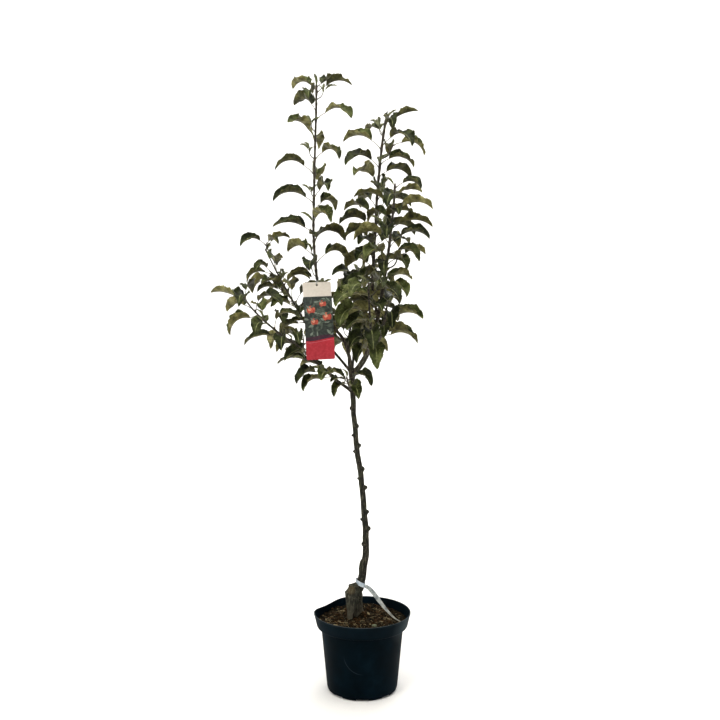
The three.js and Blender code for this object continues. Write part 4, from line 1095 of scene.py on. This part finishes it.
def potMaterial():
    # Black recycled polyethylene, blow moulded: near black with a cold grey cast, a satin gloss
    # that dust has dulled in patches, and a skin as fine as orange peel, 1 mm across.
    material, tree, place = startMaterial("blackPolyethylene")
    dust = addNode(tree, "TexNoise", {"Vector": place, "Scale": 14.0, "Detail": 8.0, "Roughness": 0.6})
    peel = addNode(tree, "TexNoise", {"Vector": place, "Scale": 620.0, "Detail": 3.0})
    base = addNode(tree, "ValToRGB", [dust],
                   [(0.35, "#010b11"), (0.55, "#03121a"), (0.8, "#0c1e27")])
    axes = addNode(tree, "SeparateXYZ", [place]).outputs
    scratch, rightSideHighlight = pot["scratch"], pot["rightSideHighlight"]
    # how far a point lies from the arc, and how far round from the middle of it
    flat = addNode(tree, "CombineXYZ", [axes["X"], axes["Z"]])
    arcX, arcZ = scratch["middle"]
    away = addNode(tree, "VectorMath", [flat, (arcX * mm, arcZ * mm, 0)], operation="SUBTRACT")
    parts = addNode(tree, "SeparateXYZ", [away]).outputs
    reach = addNode(tree, "VectorMath", [away], operation="LENGTH")
    angle = addNode(tree, "Math", [parts["Y"], parts["X"]], operation="ARCTAN2")
    middle = ((scratch["from"] + scratch["to"]) / 2 - 360) * degree
    half = (scratch["to"] - scratch["from"]) / 2 * degree
    off = addNode(tree, "Math", [reach, scratch["radius"] * mm], operation="SUBTRACT")
    off = addNode(tree, "Math", [off], operation="ABSOLUTE")
    turned = addNode(tree, "Math", [angle, middle], operation="SUBTRACT")
    turned = addNode(tree, "Math", [turned], operation="ABSOLUTE")
    # painted highlight: a paler grey patch on the collar's right side
    patch = addNode(tree, "VectorMath", [place, tuple(np.array(rightSideHighlight["middle"]) * mm)],
                    operation="DISTANCE")
    # each share runs with a distance, a height or the dust: from, to, and its values there
    line, ends, collar, rimTopHighlight, grey, gloss = [
        addNode(tree, "MapRange", limits) for limits in (
            (off, 0, scratch["width"] * mm, 1, 0), (turned, half * 0.5, half, 1, 0),
            # painted highlight: the rim's top, from 223.2 mm up, is paler where light from above falls on
            # it
            (axes["Z"], 0.185, 0.195, 0, 0.3), (axes["Z"], 0.2232, 0.2246, 0, 0.6),
            (patch, 0, rightSideHighlight["reach"] * mm, 0.75, 0), (dust, 0.3, 0.75, 0.5, 0.66))]
    front = addNode(tree, "Math", [axes["Y"], scratch["before"] * mm], operation="LESS_THAN")
    rubbed = addNode(tree, "Math", [line, ends], operation="MULTIPLY")
    rubbed = addNode(tree, "Math", [rubbed, front], operation="MULTIPLY")
    # over the plain black: the rubbed arc, the duller collar, a painted highlight along the rim's top and a
    # painted highlight on the collar's right side
    for share, colour in ((rubbed, "#2c353a"), (collar, "#122028"), (rimTopHighlight, "#4a5052"), (grey, "#39444a")):
        base = addNode(tree, "Mix", {0: share, 6: base, 7: colour}, data_type="RGBA")
    finishMaterial(tree, peel, 0.25, 0.15, Base_Color=base, Roughness=gloss, IOR=1.5,
                   Specular_IOR_Level=0.04)
    return material


def makePot():
    wall, height, lift, foot = pot["wall"], pot["height"], pot["baseLift"], pot["footRadius"]
    rim, collar, collarFoot = pot["rimRadius"], pot["collarFootRadius"], pot["collarFoot"]
    ring, shoulder, base = foot - pot["footRingWidth"], pot["shoulderRadius"], pot["baseRadius"]
    corners = [
        (0, 0, 0), (pot["bossRadius"], 0, 0.6), (pot["bossRadius"] + 4, lift, 1.5),
        (ring, lift, 0.8), (ring, 0, 0.6), (foot, 0, 1.5), (foot + 6, 3.6, 4),
        (base, pot["footRounding"], 5), (shoulder, collarFoot, 2.2),
        (collar - 2, collarFoot, 0.8), (collar, collarFoot + 2.5, 1.8), (rim - 1.2, height - 5, 1),
        (rim, height - 3.5, 0.8), (rim, height, 1.1), (rim - wall - 0.6, height, 1.0),
        (collar - wall, collarFoot + wall + 2, 1.5), (shoulder - wall, collarFoot + wall - 1, 1.5),
        (base - wall, pot["footRounding"] + 1, 4), (foot - 1, lift + wall, 3), (0, lift + wall, 0),
    ]
    points, faces = turnedMesh(roundedProfile(corners), pot["facets"])
    piece = meshPiece("pot_body", [(points, faces, 0)], [potMaterial()], ["pot"])
    cutter = bmesh.new()
    for i in range(pot["notches"]):
        made = bmesh.ops.create_cube(cutter, size=1)["verts"]
        turn = Matrix.Rotation((i / pot["notches"] * 360 - 90) * degree, 4, "Z")
        size = Matrix.Diagonal((30 * mm, pot["notchWidth"] * mm, lift * 2 * mm, 1))
        bmesh.ops.transform(cutter, verts=made,
                            matrix=turn @ Matrix.Translation((foot * mm, 0, -0.02 * mm)) @ size)
    notches = addObject("notches", bpy.data.meshes.new("notches"))
    cutter.to_mesh(notches.data)
    cutter.free()
    cut = piece.modifiers.new("notches", "BOOLEAN")
    cut.operation, cut.object, cut.solver = "DIFFERENCE", notches, "EXACT"
    finished = evaluatedMesh(piece)
    piece.modifiers.clear()
    piece.data = finished
    bpy.data.objects.remove(notches)
    sharpen(finished, 38)
    print("made pot:", len(finished.polygons), "faces")


makePot()


# Soil, chips of bark and fibres

soil = {
    "top": 206.7, "edge": 201, "flatRadius": 62, "clearance": 0.4,
    "lumps": [0.045, 1.6],   # how fine and how high
    "crumbs": [0.2, 0.8],
    # x, y, height and reach: heaped up behind the stem, and higher along the far wall
    "mounds": [(3, 14, 11, 17), (0, 110, 7, 62)],
    "rings": 90, "facets": 240,
    "chips": 2300,
    "chipLength": [5, 17, 2.6],  # a few reach 17 mm, but by this power most are near 8
    "chipShape": [(0.28, 0.6), (0.08, 0.2)],  # width and thickness, as shares of the length
    "clearOfWall": [9, 16],  # how far chips and fibres keep from it
    "shadedBeyond": 88,              # radius beyond which more of the chips are dark, painted shade of the pot's wall
    "tones": [[30, 30, 24, 9, 6], [10, 24, 56, 5, 3]],  # how many of each, inside it and beyond
    "fibres": 240,
    "fibreLength": [8, 26],
    "fibreRadius": [0.35, 0.8],
    "fibreRise": [0.6, 3.2],  # how high it runs above the soil
    "trunk": [-22, 8, 20, 32],  # x, y and how near it chips and fibres lie
    "bandEnd": [104, -25, 5],   # x, y and how near it chips lie
    # strips of pale wood that lie on top, with each one's radius
    "strips": [([(-84, -62, 206), (-76, -66, 209), (-66, -70, 206)], 1.6),
               ([(-96, -40, 206), (-97, -56, 209), (-92, -72, 206)], 1.2),
               ([(-60, -44, 207), (-52, -50, 209.5), (-42, -48, 207)], 1.1)],
    "mossyLump": {"middle": (34, -70, 208), "radius": 7},
}


def soilHeightAt(x, y):
    # the top slopes gently from its flat middle to the pot's wall
    outer = pot["collarFootRadius"] - pot["wall"]
    share = min(max((math.hypot(x, y) - soil["flatRadius"]) / (outer - soil["flatRadius"]), 0), 1)
    height = soil["top"] + (soil["edge"] - soil["top"]) * share
    for mx, my, raised, reach in soil["mounds"]:
        height += raised * math.exp(-((x - mx) ** 2 + (y - my) ** 2) / reach ** 2)
    fine, high = soil["lumps"]
    crumb, crumbHigh = soil["crumbs"]
    rough = noise.noise(Vector((x * fine, y * fine, 3.1))) * high
    rough += noise.noise(Vector((x * crumb, y * crumb, 7.7))) * crumbHigh
    return height - 0.4 + rough * (1 - 0.5 * share)


def makeSoil():
    wall, collarFoot, rings, facets = pot["wall"], pot["collarFoot"], soil["rings"], soil["facets"]
    outer = pot["collarFootRadius"] - wall - 0.2
    points = [(0, 0, soilHeightAt(0, 0))]
    for i in range(1, rings + 1):
        points += [dentedRim(x, y, soilHeightAt(x, y)) for x, y, _ in ringAt(outer * i / rings, 0, facets)]
    faces = fanFaces(0, 1, facets) + gridFaces(rings, facets, closed=True, start=1)
    bottom = pot["baseLift"] + wall + 0.3
    slope = (pot["shoulderRadius"] - pot["baseRadius"]) / (collarFoot - pot["footRounding"])
    foot = pot["baseRadius"] - wall - soil["clearance"] + 4 * slope
    sides = [(pot["collarFootRadius"] - wall - 1.5, collarFoot + 5),
             (pot["shoulderRadius"] - wall - soil["clearance"] - 0.5, collarFoot + 2),
             (foot, pot["footRounding"] + 4), (pot["footRadius"] - 3, bottom)]
    faces += gridFaces(len(sides) + 1, facets, closed=True, start=len(points) - facets)
    for radius, height in sides:
        points += [dentedRim(*place) for place in ringAt(radius, height, facets)]
    faces += fanFaces(len(points), len(points) - facets, facets)
    points.append((0, 0, bottom))
    # Peat and composted bark: brown-black, crumbly and matt.
    material = grainyMaterial("pottingCompost", {"Scale": 260.0, "Detail": 9.0, "Roughness": 0.7},
                              [(0.3, "#0c0a05"), (0.5, "#1e180f"), (0.7, "#3c3221")], 1.0, 1.5,
                              Roughness=0.95, IOR=1.4, Specular_IOR_Level=0.1)
    return meshPiece("soil_bed", [(points, faces, 0)], [material], ["soil"])


def woodMaterial(name, colours, roughness=0.85):
    return grainyMaterial(name, {"Scale": 420.0, "Detail": 6.0, "Roughness": 0.65},
                          zip((0.32, 0.5, 0.7), colours), 0.8, 0.6,
                          Roughness=roughness, IOR=1.45, Specular_IOR_Level=0.12)


def chipAt(x, y, z, size, rand):
    # a torn flake: a flat, uneven six-sided prism, laid at a slant
    turn, tilt, lean = rand.uniform(0, circle), rand.uniform(-0.5, 0.5), rand.uniform(-0.5, 0.5)
    width, thick = [size * rand.uniform(*shares) for shares in soil["chipShape"]]
    laid = np.array(Euler((tilt, lean, turn)).to_matrix())
    points = []
    for side in (-1, 1):
        for a, b in ((-1, -0.2), (-0.5, -0.9), (0.5, -0.8), (1, 0.1), (0.4, 0.9), (-0.6, 0.75)):
            a, b = a + rand.uniform(-0.22, 0.22), b + rand.uniform(-0.3, 0.3)
            local = np.array([a * size / 2, b * width / 2, side * thick / 2 + rand.uniform(-0.15, 0.15)])
            points.append(laid @ local + np.array([x, y, z + thick * 0.3]))
    faces = [(5, 4, 3, 2, 1, 0), (6, 7, 8, 9, 10, 11)]
    faces += [(k, (k + 1) % 6, (k + 1) % 6 + 6, k + 6) for k in range(6)]
    return points, faces


def strandAt(path, radius, sides, steps=14):
    # a thin round strand, thinner towards both ends
    limb = limbOf([[*place, radius] for place in path])
    radii = [radius * (1 - 0.5 * abs(2 * i / steps - 1) ** 3) for i in range(steps + 1)]
    return tube([pointAt(limb, i / steps) for i in range(steps + 1)], radii, sides)


def makeLitter():
    rand, parts = random.Random(11), []
    # Chips of pine bark: red-brown inside, greyer where the weather has had them.
    # Wood fibre and straw: pale, dry, and slightly shiny along its length.
    # Moss on a crumb of stone: a grey-green lump.
    materials = [
        woodMaterial("pineBarkRed", ["#1b1208", "#362512", "#584126"]),
        woodMaterial("pineBarkBrown", ["#16110a", "#2c2215", "#483927"]),
        woodMaterial("pineBarkDark", ["#0b0a05", "#18150c", "#282416"]),
        woodMaterial("weatheredBark", ["#2a251a", "#453e2f", "#655c48"]),
        woodMaterial("paleWoodFibre", ["#564d3a", "#7a6f56", "#9a8e70"], 0.7),
        woodMaterial("mossyCrumb", ["#454b3c", "#6a6f5c", "#8a8f78"], 0.9),
    ]
    red, weathered, pale, mossy = 0, 3, 4, 5
    trunkX, trunkY, chipsNear, fibresNear = soil["trunk"]
    bandX, bandY, bandNear = soil["bandEnd"]
    low, high, power = soil["chipLength"]
    chipsEnd, fibresEnd = [pot["collarFootRadius"] - gap for gap in soil["clearOfWall"]]
    for _ in range(soil["chips"]):
        radius = chipsEnd * math.sqrt(rand.random())
        angle = rand.uniform(0, circle)
        x, y = radius * math.cos(angle), radius * math.sin(angle)
        if math.hypot(x - trunkX, y - trunkY) < chipsNear or math.hypot(x - bandX, y - bandY) < bandNear:
            continue
        size = low + (high - low) * rand.random() ** power
        # darker towards the wall: painted shade, where the pot's wall shades the soil
        tone = rand.choices(range(5), soil["tones"][1 if radius > soil["shadedBeyond"] else 0])[0]
        parts.append((*chipAt(x, y, soilHeightAt(x, y), size, rand), tone))
    for _ in range(soil["fibres"]):
        radius = fibresEnd * math.sqrt(rand.random())
        angle, turn = rand.uniform(0, 6.28), rand.uniform(0, 6.28)
        half = rand.uniform(*soil["fibreLength"]) / 2
        x, y = radius * math.cos(angle), radius * math.sin(angle)
        if math.hypot(x - trunkX, y - trunkY) < fibresNear:
            continue
        path = []
        for k in (-1, 0, 1):
            px, py = x + k * half * math.cos(turn + k * 0.3), y + k * half * math.sin(turn + k * 0.3)
            path.append((px, py, soilHeightAt(px, py) + rand.uniform(*soil["fibreRise"])))
        strand = strandAt(path, rand.uniform(*soil["fibreRadius"]), 5)
        parts.append((*strand, rand.choice([pale, pale, weathered, red])))
    parts += [(*strandAt(path, radius, 8), pale) for path, radius in soil["strips"]]
    crumb, middle = bmesh.new(), Vector(soil["mossyLump"]["middle"])
    bmesh.ops.create_icosphere(crumb, subdivisions=3, radius=soil["mossyLump"]["radius"])
    points = []
    for vertex in crumb.verts:
        place = Vector((vertex.co.x, vertex.co.y * 0.8, vertex.co.z * 0.75))
        place *= 1 + 0.25 * noise.noise(vertex.co * 0.25) + 0.08 * noise.noise(vertex.co * 0.9)
        points.append(place + middle)
    parts.append((points, [tuple(v.index for v in face.verts) for face in crumb.faces], mossy))
    crumb.free()
    piece = meshPiece("soil_litter", parts, materials, ["soil"])
    for polygon in piece.data.polygons:
        polygon.use_smooth = polygon.material_index in (pale, mossy)
    return piece


print("made soil:", sum(len(piece.data.polygons) for piece in (makeSoil(), makeLitter())), "faces")


# Name band round the graft

band = {
    "width": 12, "thickness": 0.5, "centre": [-4.5, 11, 305], "radius": 13.6,
    "fall": 7,               # how much lower its right side hangs
    "steps": 72,
    "tail": [[9, 6, 297], [20.5, -4, 293], [37.5, -10, 275], [50, -14, 258], [64, -18, 241],
             [78, -21, 226], [93, -23, 212.4], [108, -25, 204.2]],
    "tailWidths": [[0, 10.8], [0.15, 13.5], [0.32, 13.4], [0.5, 10.5], [0.75, 6], [0.88, 3.8], [1, 2.6]],
    "tailSteps": 90,
    "ripple": 0.5,
    "across": 6,             # points on each side of the strip
}


def stripRing(centre, along, width):
    # the strip's section, slightly dished
    broad = np.array([0, 0, 1.0])
    broad = unit(broad - along * (broad @ along))
    thin, half = np.cross(along, broad), band["thickness"] / 2
    front, back = [[centre + broad * width * p + thin * (side + 0.5 * (0.25 - p * p))
                    for p in np.linspace(-0.5, 0.5, band["across"])] for side in (half, -half)]
    return front + back[::-1]


def tapeMaterial(name, colours):
    material, tree, place = startMaterial(name)
    height = addNode(tree, "SeparateXYZ", [place]).outputs["Z"]
    smudge = addNode(tree, "TexNoise", {"Vector": place, "Scale": 90.0, "Detail": 6.0})
    tint = addNode(tree, "ValToRGB", [smudge], zip((0.35, 0.5, 0.66), colours))
    low = addNode(tree, "MapRange", [height, 0.2, 0.24, 0.55, 0])
    base = addNode(tree, "Mix", {0: low, 6: tint, 7: "#c3bda6"}, data_type="RGBA")
    finishMaterial(tree, smudge, 0.15, 0.5, Base_Color=base, Roughness=0.42, IOR=1.5)
    return material


def makeBand():
    around = band["across"] * 2
    ring, steps, slant = [], band["steps"], band["fall"] / band["radius"]
    for i in range(steps):
        angle = i / steps * circle
        cos, sin = math.cos(angle), math.sin(angle)
        place = np.array(band["centre"]) + band["radius"] * np.array([cos, sin, 0])
        place[2] -= band["fall"] * cos
        ring += stripRing(place, unit(np.array([-sin, cos, slant * sin])), band["width"])
    last = (steps - 1) * around
    faces = gridFaces(steps, around, closed=True)
    faces += [(last + j, last + (j + 1) % around, (j + 1) % around, j) for j in range(around)]
    parts = [(ring, faces, 0)]
    tail, ring, count = limbOf([[*p, 1] for p in band["tail"]]), [], band["tailSteps"]
    places, widths = zip(*band["tailWidths"])
    for i in range(count + 1):
        share = i / count
        along = tangentAt(tail, share)
        waved = np.cross(along, [0, 0, 1]) * band["ripple"] * math.sin(9 * share) * (1 - share)
        ring += stripRing(pointAt(tail, share) + waved, along, np.interp(share, places, widths))
    faces = gridFaces(count + 1, around, closed=True)
    faces += [tuple(reversed(range(around))), tuple(range(count * around, (count + 1) * around))]
    parts.append((ring, faces, 1))
    # Soft white polyethylene tape: milky and satin round the stem, and on the tail greyed by wear and
    # smudged by soil towards its lower end.
    materials = [tapeMaterial("whitePolyethyleneTape", ["#8d9aa6", "#a9b5be", "#c2c8cb"]),
                 tapeMaterial("wornPolyethyleneTape", ["#747a7c", "#a0a6a6", "#c3c5c0"])]
    sharpen(meshPiece("band", parts, materials, ["name_band"]).data, 50)
    print("made name band")


makeBand()


# Plant card and its tie

# Printed polypropylene: flat bright inks under a soft gloss, with the paper white of the card
# at its cut edges. The print's own grain is 0.1 mm and is drawn at 6 mm and less.
cardInks = {
    "creamInk": ["#cfc7bc", "#d3cbc0", "#d7cfc5"],
    "darkFoliageInk": ["#2a302e", "#363c39", "#424844"],
    "leafInk": ["#454e46", "#515a50", "#5d665b"],
    "paleLeafInk": ["#6a7469", "#768074", "#828c7f"],
    "appleInk": ["#984038", "#b05246", "#c27658"],
    "appleShineInk": ["#c07a62", "#cf937a", "#daac90"],
    "plumInk": ["#3a2330", "#432937", "#4c2f3e"],
    "redInk": ["#aa2b38", "#b3323f", "#bb3a46"],
    "paleRedInk": ["#c4606a", "#c96973", "#cf737c"],
    "cardBack": ["#cfcdc7", "#d3d1cb", "#d7d5d0"],
}


def arc(x, z, radius, start, end, steps):
    return [(x + radius * math.cos(a), z + radius * math.sin(a))
            for a in np.linspace(start * degree, end * degree, steps + 1)]


def leafShape(x, z, length, width, turn):
    edge = [(share - 0.5, 0.5 * width / length * math.sin(math.pi * share ** 0.8))
            for share in np.linspace(0, 1, 9)]
    cos, sin = math.cos(turn) * length, math.sin(turn) * length
    return [(x + a * cos - b * sin, z + a * sin + b * cos)
            for a, b in [(a, -b) for a, b in edge[:-1]] + edge[:0:-1]]


def printedMaterial(name, colours):
    return grainyMaterial(name, {"Scale": 1 / (6 * mm), "Detail": 5.0}, zip((0.34, 0.5, 0.68), colours),
                          0.08, 0.3, Roughness=0.34, IOR=1.49)


def cardShapes():
    # (ink, outline), each printed over those before it, and the hole last
    w, h, corner, rand = card["width"] / 2, card["height"] / 2, card["corner"], random.Random(5)
    top, foot, edge = h - card["head"], -h + card["foot"], w + 2
    outline = []
    for i, (x, z) in enumerate(((w, -h), (w, h), (-w, h), (-w, -h))):
        outline += arc(x - math.copysign(corner, x), z - math.copysign(corner, z), corner,
                       90 * i - 90, 90 * i, 6)
    shapes = [("creamInk", outline)]
    shapes.append(("darkFoliageInk", [(-edge, foot - 8), (edge, foot - 8), (edge, top), (-edge, top)]))
    for _ in range(card["leaves"]):
        ink = rand.choice(["leafInk", "leafInk", "paleLeafInk"])
        shapes.append((ink, leafShape(rand.uniform(-w, w), rand.uniform(foot, top - 6),
                                      rand.uniform(10, 19), rand.uniform(4, 7), rand.uniform(0, math.pi))))
    for x, z, radius in card["apples"]:
        shapes.append(("appleInk", arc(x, z, radius, 0, 345, 23)))
        shapes.append(("appleShineInk", arc(x - radius * 0.3, z + radius * 0.2, radius * 0.45, 0, 330, 11)))
        for ink, right, up, length, width, turn in (
                ("leafInk", 0.5, 0.9, 1.5, 0.6, 0.6), ("paleLeafInk", -0.7, 0.7, 1.2, 0.45, 2.3),
                ("darkFoliageInk", 0.2, -0.9, 1.4, 0.5, 0.1)):
            shapes.append((ink, leafShape(x + radius * right, z + radius * up, radius * length,
                                          radius * width, turn)))
    # the foot's two wavy bands, and a thin pale line along the lower one
    for ink, drop, high, fine, shift in (("plumInk", 0, 3, 0.055, 0.6), ("redInk", 9, 4, 0.045, -0.4),
                                         ("paleRedInk", 13, 4, 0.045, -0.4)):
        wave = [(x, foot - drop + high * math.sin(x * fine + shift)) for x in np.linspace(-edge, edge, 25)]
        under = [(-edge, -h - 2), (edge, -h - 2)]
        if ink == "paleRedInk":
            under = [(x, z - 1.2) for x, z in wave]
        shapes.append((ink, under + wave[::-1]))
    return shapes + [(None, arc(0, h - card["holeDrop"], card["holeRadius"], 0, 345, 23))]


def makeCard():
    # one flat net of triangles, in which each knows the shapes that it lies in
    w, h, shapes = card["width"] / 2, card["height"] / 2, cardShapes()
    points, loops = [], []
    for _, shape in shapes:
        loops.append(list(range(len(points), len(points) + len(shape))))
        points += [Vector(p) for p in shape]
    for z in np.arange(-h + 8, h - 4, 8):
        points += [Vector((x, z)) for x in (-w * 0.6, 0.1, w * 0.6)]
    net, _, triangles, _, _, sources = delaunay_2d_cdt(points, [], loops, 1, 0.001)
    count, faces, inks, sides = len(net), [], [], {}
    numbers = {ink: i for i, ink in enumerate(cardInks)}
    back, hole = numbers["cardBack"], len(shapes) - 1
    for triangle, source in zip(triangles, sources):
        if 0 in source and hole not in source:
            faces += [tuple(triangle), tuple(corner + count for corner in reversed(triangle))]
            inks += [numbers[shapes[max(source)][0]], back]
            sides.update(dict.fromkeys(zip(triangle, triangle[1:] + triangle[:1])))
    rim = [(b, a, a + count, b + count) for a, b in sides if (b, a) not in sides]
    points = [bowed(p.x, y, p.y) for y in (-card["thickness"], 0.0) for p in net]
    materials = [printedMaterial(name, colours) for name, colours in cardInks.items()]
    piece = meshPiece("card_print", [(points, faces + rim, inks + [back] * len(rim))], materials,
                      ["card"])
    place = np.eye(4)
    place[:3, :3], place[:3, 3] = cardTurn, card["centre"] * mm
    piece.matrix_world = Matrix(place)
    sharpen(piece.data, 40)
    print("made card:", len(piece.data.polygons), "faces")


makeCard()

tie = {"radius": 0.8, "share": 0.165, "slack": 1.04, "raise": 1.35, "steps": 150, "sides": 10}


def makeTie():
    # the loop goes through the card's hole and round the leader's shoot
    stem = grownShoots["foliage_leader"]["stem"]
    hole = bowed(0, -card["thickness"] / 2, card["height"] / 2 - card["holeDrop"] + tie["raise"])
    x, y, z = cardTurn @ hole + card["centre"]
    sx, sy, sz = pointAt(stem, tie["share"])
    clearOf = radiusAt(stem, tie["share"]) + tie["radius"] + tie["slack"]
    over = card["holeDrop"] + tie["radius"] + 2
    loop = limbOf([[*stop, 1] for stop in (
        (x, y, z), (x, y - 3.4, z + 2), (x - 0.5, y - 3, z + over * 0.7), (x - 2, y + 3, z + over * 1.15),
        (sx - clearOf, sy - 2, sz), (sx, sy + clearOf, sz + 1), (sx + clearOf, sy - 2, sz),
        (x + 3, y + 8, z + over * 0.8), (x + 0.5, y + 3.4, z + 2))])
    steps = tie["steps"]
    centres = [pointAt(loop, i / steps, True) for i in range(steps)]
    points, faces = tube(centres + centres[:1], [tie["radius"]] * (steps + 1), tie["sides"], capped=False)
    # Elastic cord: rayon braid over rubber, pale grey, with ridges that wind round it every 2 mm.
    material, tree, place = startMaterial("braidedElastic")
    braid = addNode(tree, "TexWave", {"Vector": place, "Scale": 160.0, "Distortion": 2.0},
                    bands_direction="DIAGONAL").outputs["Fac"]
    tint = addNode(tree, "ValToRGB", [braid], [(0.2, "#7d827f"), (0.6, "#b4b8b5"), (0.9, "#cdd0cd")])
    finishMaterial(tree, braid, 0.4, 0.2, Base_Color=tint, Roughness=0.7, IOR=1.45, Sheen_Weight=0.3)
    meshPiece("tie_cord", [(points, faces, 0)], [material], ["card_tie"])
    print("made tie")


makeTie()


# Studio: a round sweep of pale paper, soft lights and the camera, in metres

studio = {
    "flat": 4.6, "bend": 2.0, "height": 5.5, "sides": 96,
    # name, place, where it points, its side, watts and colour; the last lights the paper alone
    "lights": [("top", (0.2, -0.4, 4.4), (0, 0, 0.8), 3.4, 125, "#fffaf2"),
               ("key", (-2.4, -2.9, 2.9), (0, 0, 1.0), 1.8, 75, "#fffdf8"),
               ("fill", (2.9, -2.6, 1.8), (0, 0, 0.9), 2.2, 11, "#f3f7ff"),
               ("back", (1.4, 3.2, 2.8), (0, 0, 1.1), 2.0, 30, "#ffffff"),
               ("paper", (0, 2.4, 4.2), (0, 6.4, 0.8), 2.6, 150, "#fdfeff")],
    "sky": {"colour": "#f2f5f8", "strength": 0.4},
    "camera": {"place": (-0.0063, -3.0, 1.265), "down": 6.104, "lens": 54.375},
}


def makeSweep():
    bend = studio["bend"]
    profile = [(radius, 0) for radius in (0.3, 1, 2, 3, 4)]
    profile += [(studio["flat"] + bend * math.sin(a), bend - bend * math.cos(a))
                for a in np.linspace(0, math.pi / 2, 17)]
    profile.append((studio["flat"] + bend, studio["height"]))
    sides = studio["sides"]
    points = [place for radius, height in profile for place in ringAt(radius / mm, height / mm, sides)]
    faces = [tuple(reversed(face)) for face in gridFaces(len(profile), sides, closed=True)]
    faces.append(tuple(range(sides)))
    # Seamless background paper: white, matt, with the faintest tooth.
    paper = grainyMaterial("backgroundPaper", {"Scale": 300.0, "Detail": 3.0},
                           [(0.3, "#efeeec"), (0.7, "#f4f3f1")], 0, 0, Roughness=0.95, IOR=1.4)
    addObject("sweep", fillMesh("sweep", [(points, faces, 0)], [paper]))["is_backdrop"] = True


makeSweep()
scene = bpy.context.scene
for name, place, target, side, power, colour in studio["lights"]:
    light = bpy.data.lights.new(name, "AREA")
    light.shape, light.size, light.energy, light.color = "SQUARE", side, power, linear(colour)[:3]
    lamp = addObject(name, light)
    lamp.location = place
    lamp.rotation_euler = (Vector(target) - Vector(place)).to_track_quat("-Z", "Y").to_euler()

scene.world = bpy.data.worlds.new("studioSky")
scene.world.use_nodes = True
sky = scene.world.node_tree.nodes["Background"].inputs
sky["Color"].default_value = linear(studio["sky"]["colour"])
sky["Strength"].default_value = studio["sky"]["strength"]

scene.camera = addObject("camera", bpy.data.cameras.new("camera"))
scene.camera.data.lens, scene.camera.data.sensor_width = studio["camera"]["lens"], 36
scene.camera.location = studio["camera"]["place"]
scene.camera.rotation_euler = ((90 - studio["camera"]["down"]) * degree, 0, 0)
scene.view_settings.view_transform = "Standard"
scene.view_settings.look = "Medium High Contrast"

size = {"cad": [list(corner) for corner in cadBox], "visual": [list(corner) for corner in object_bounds()]}
print("sizes:", size)
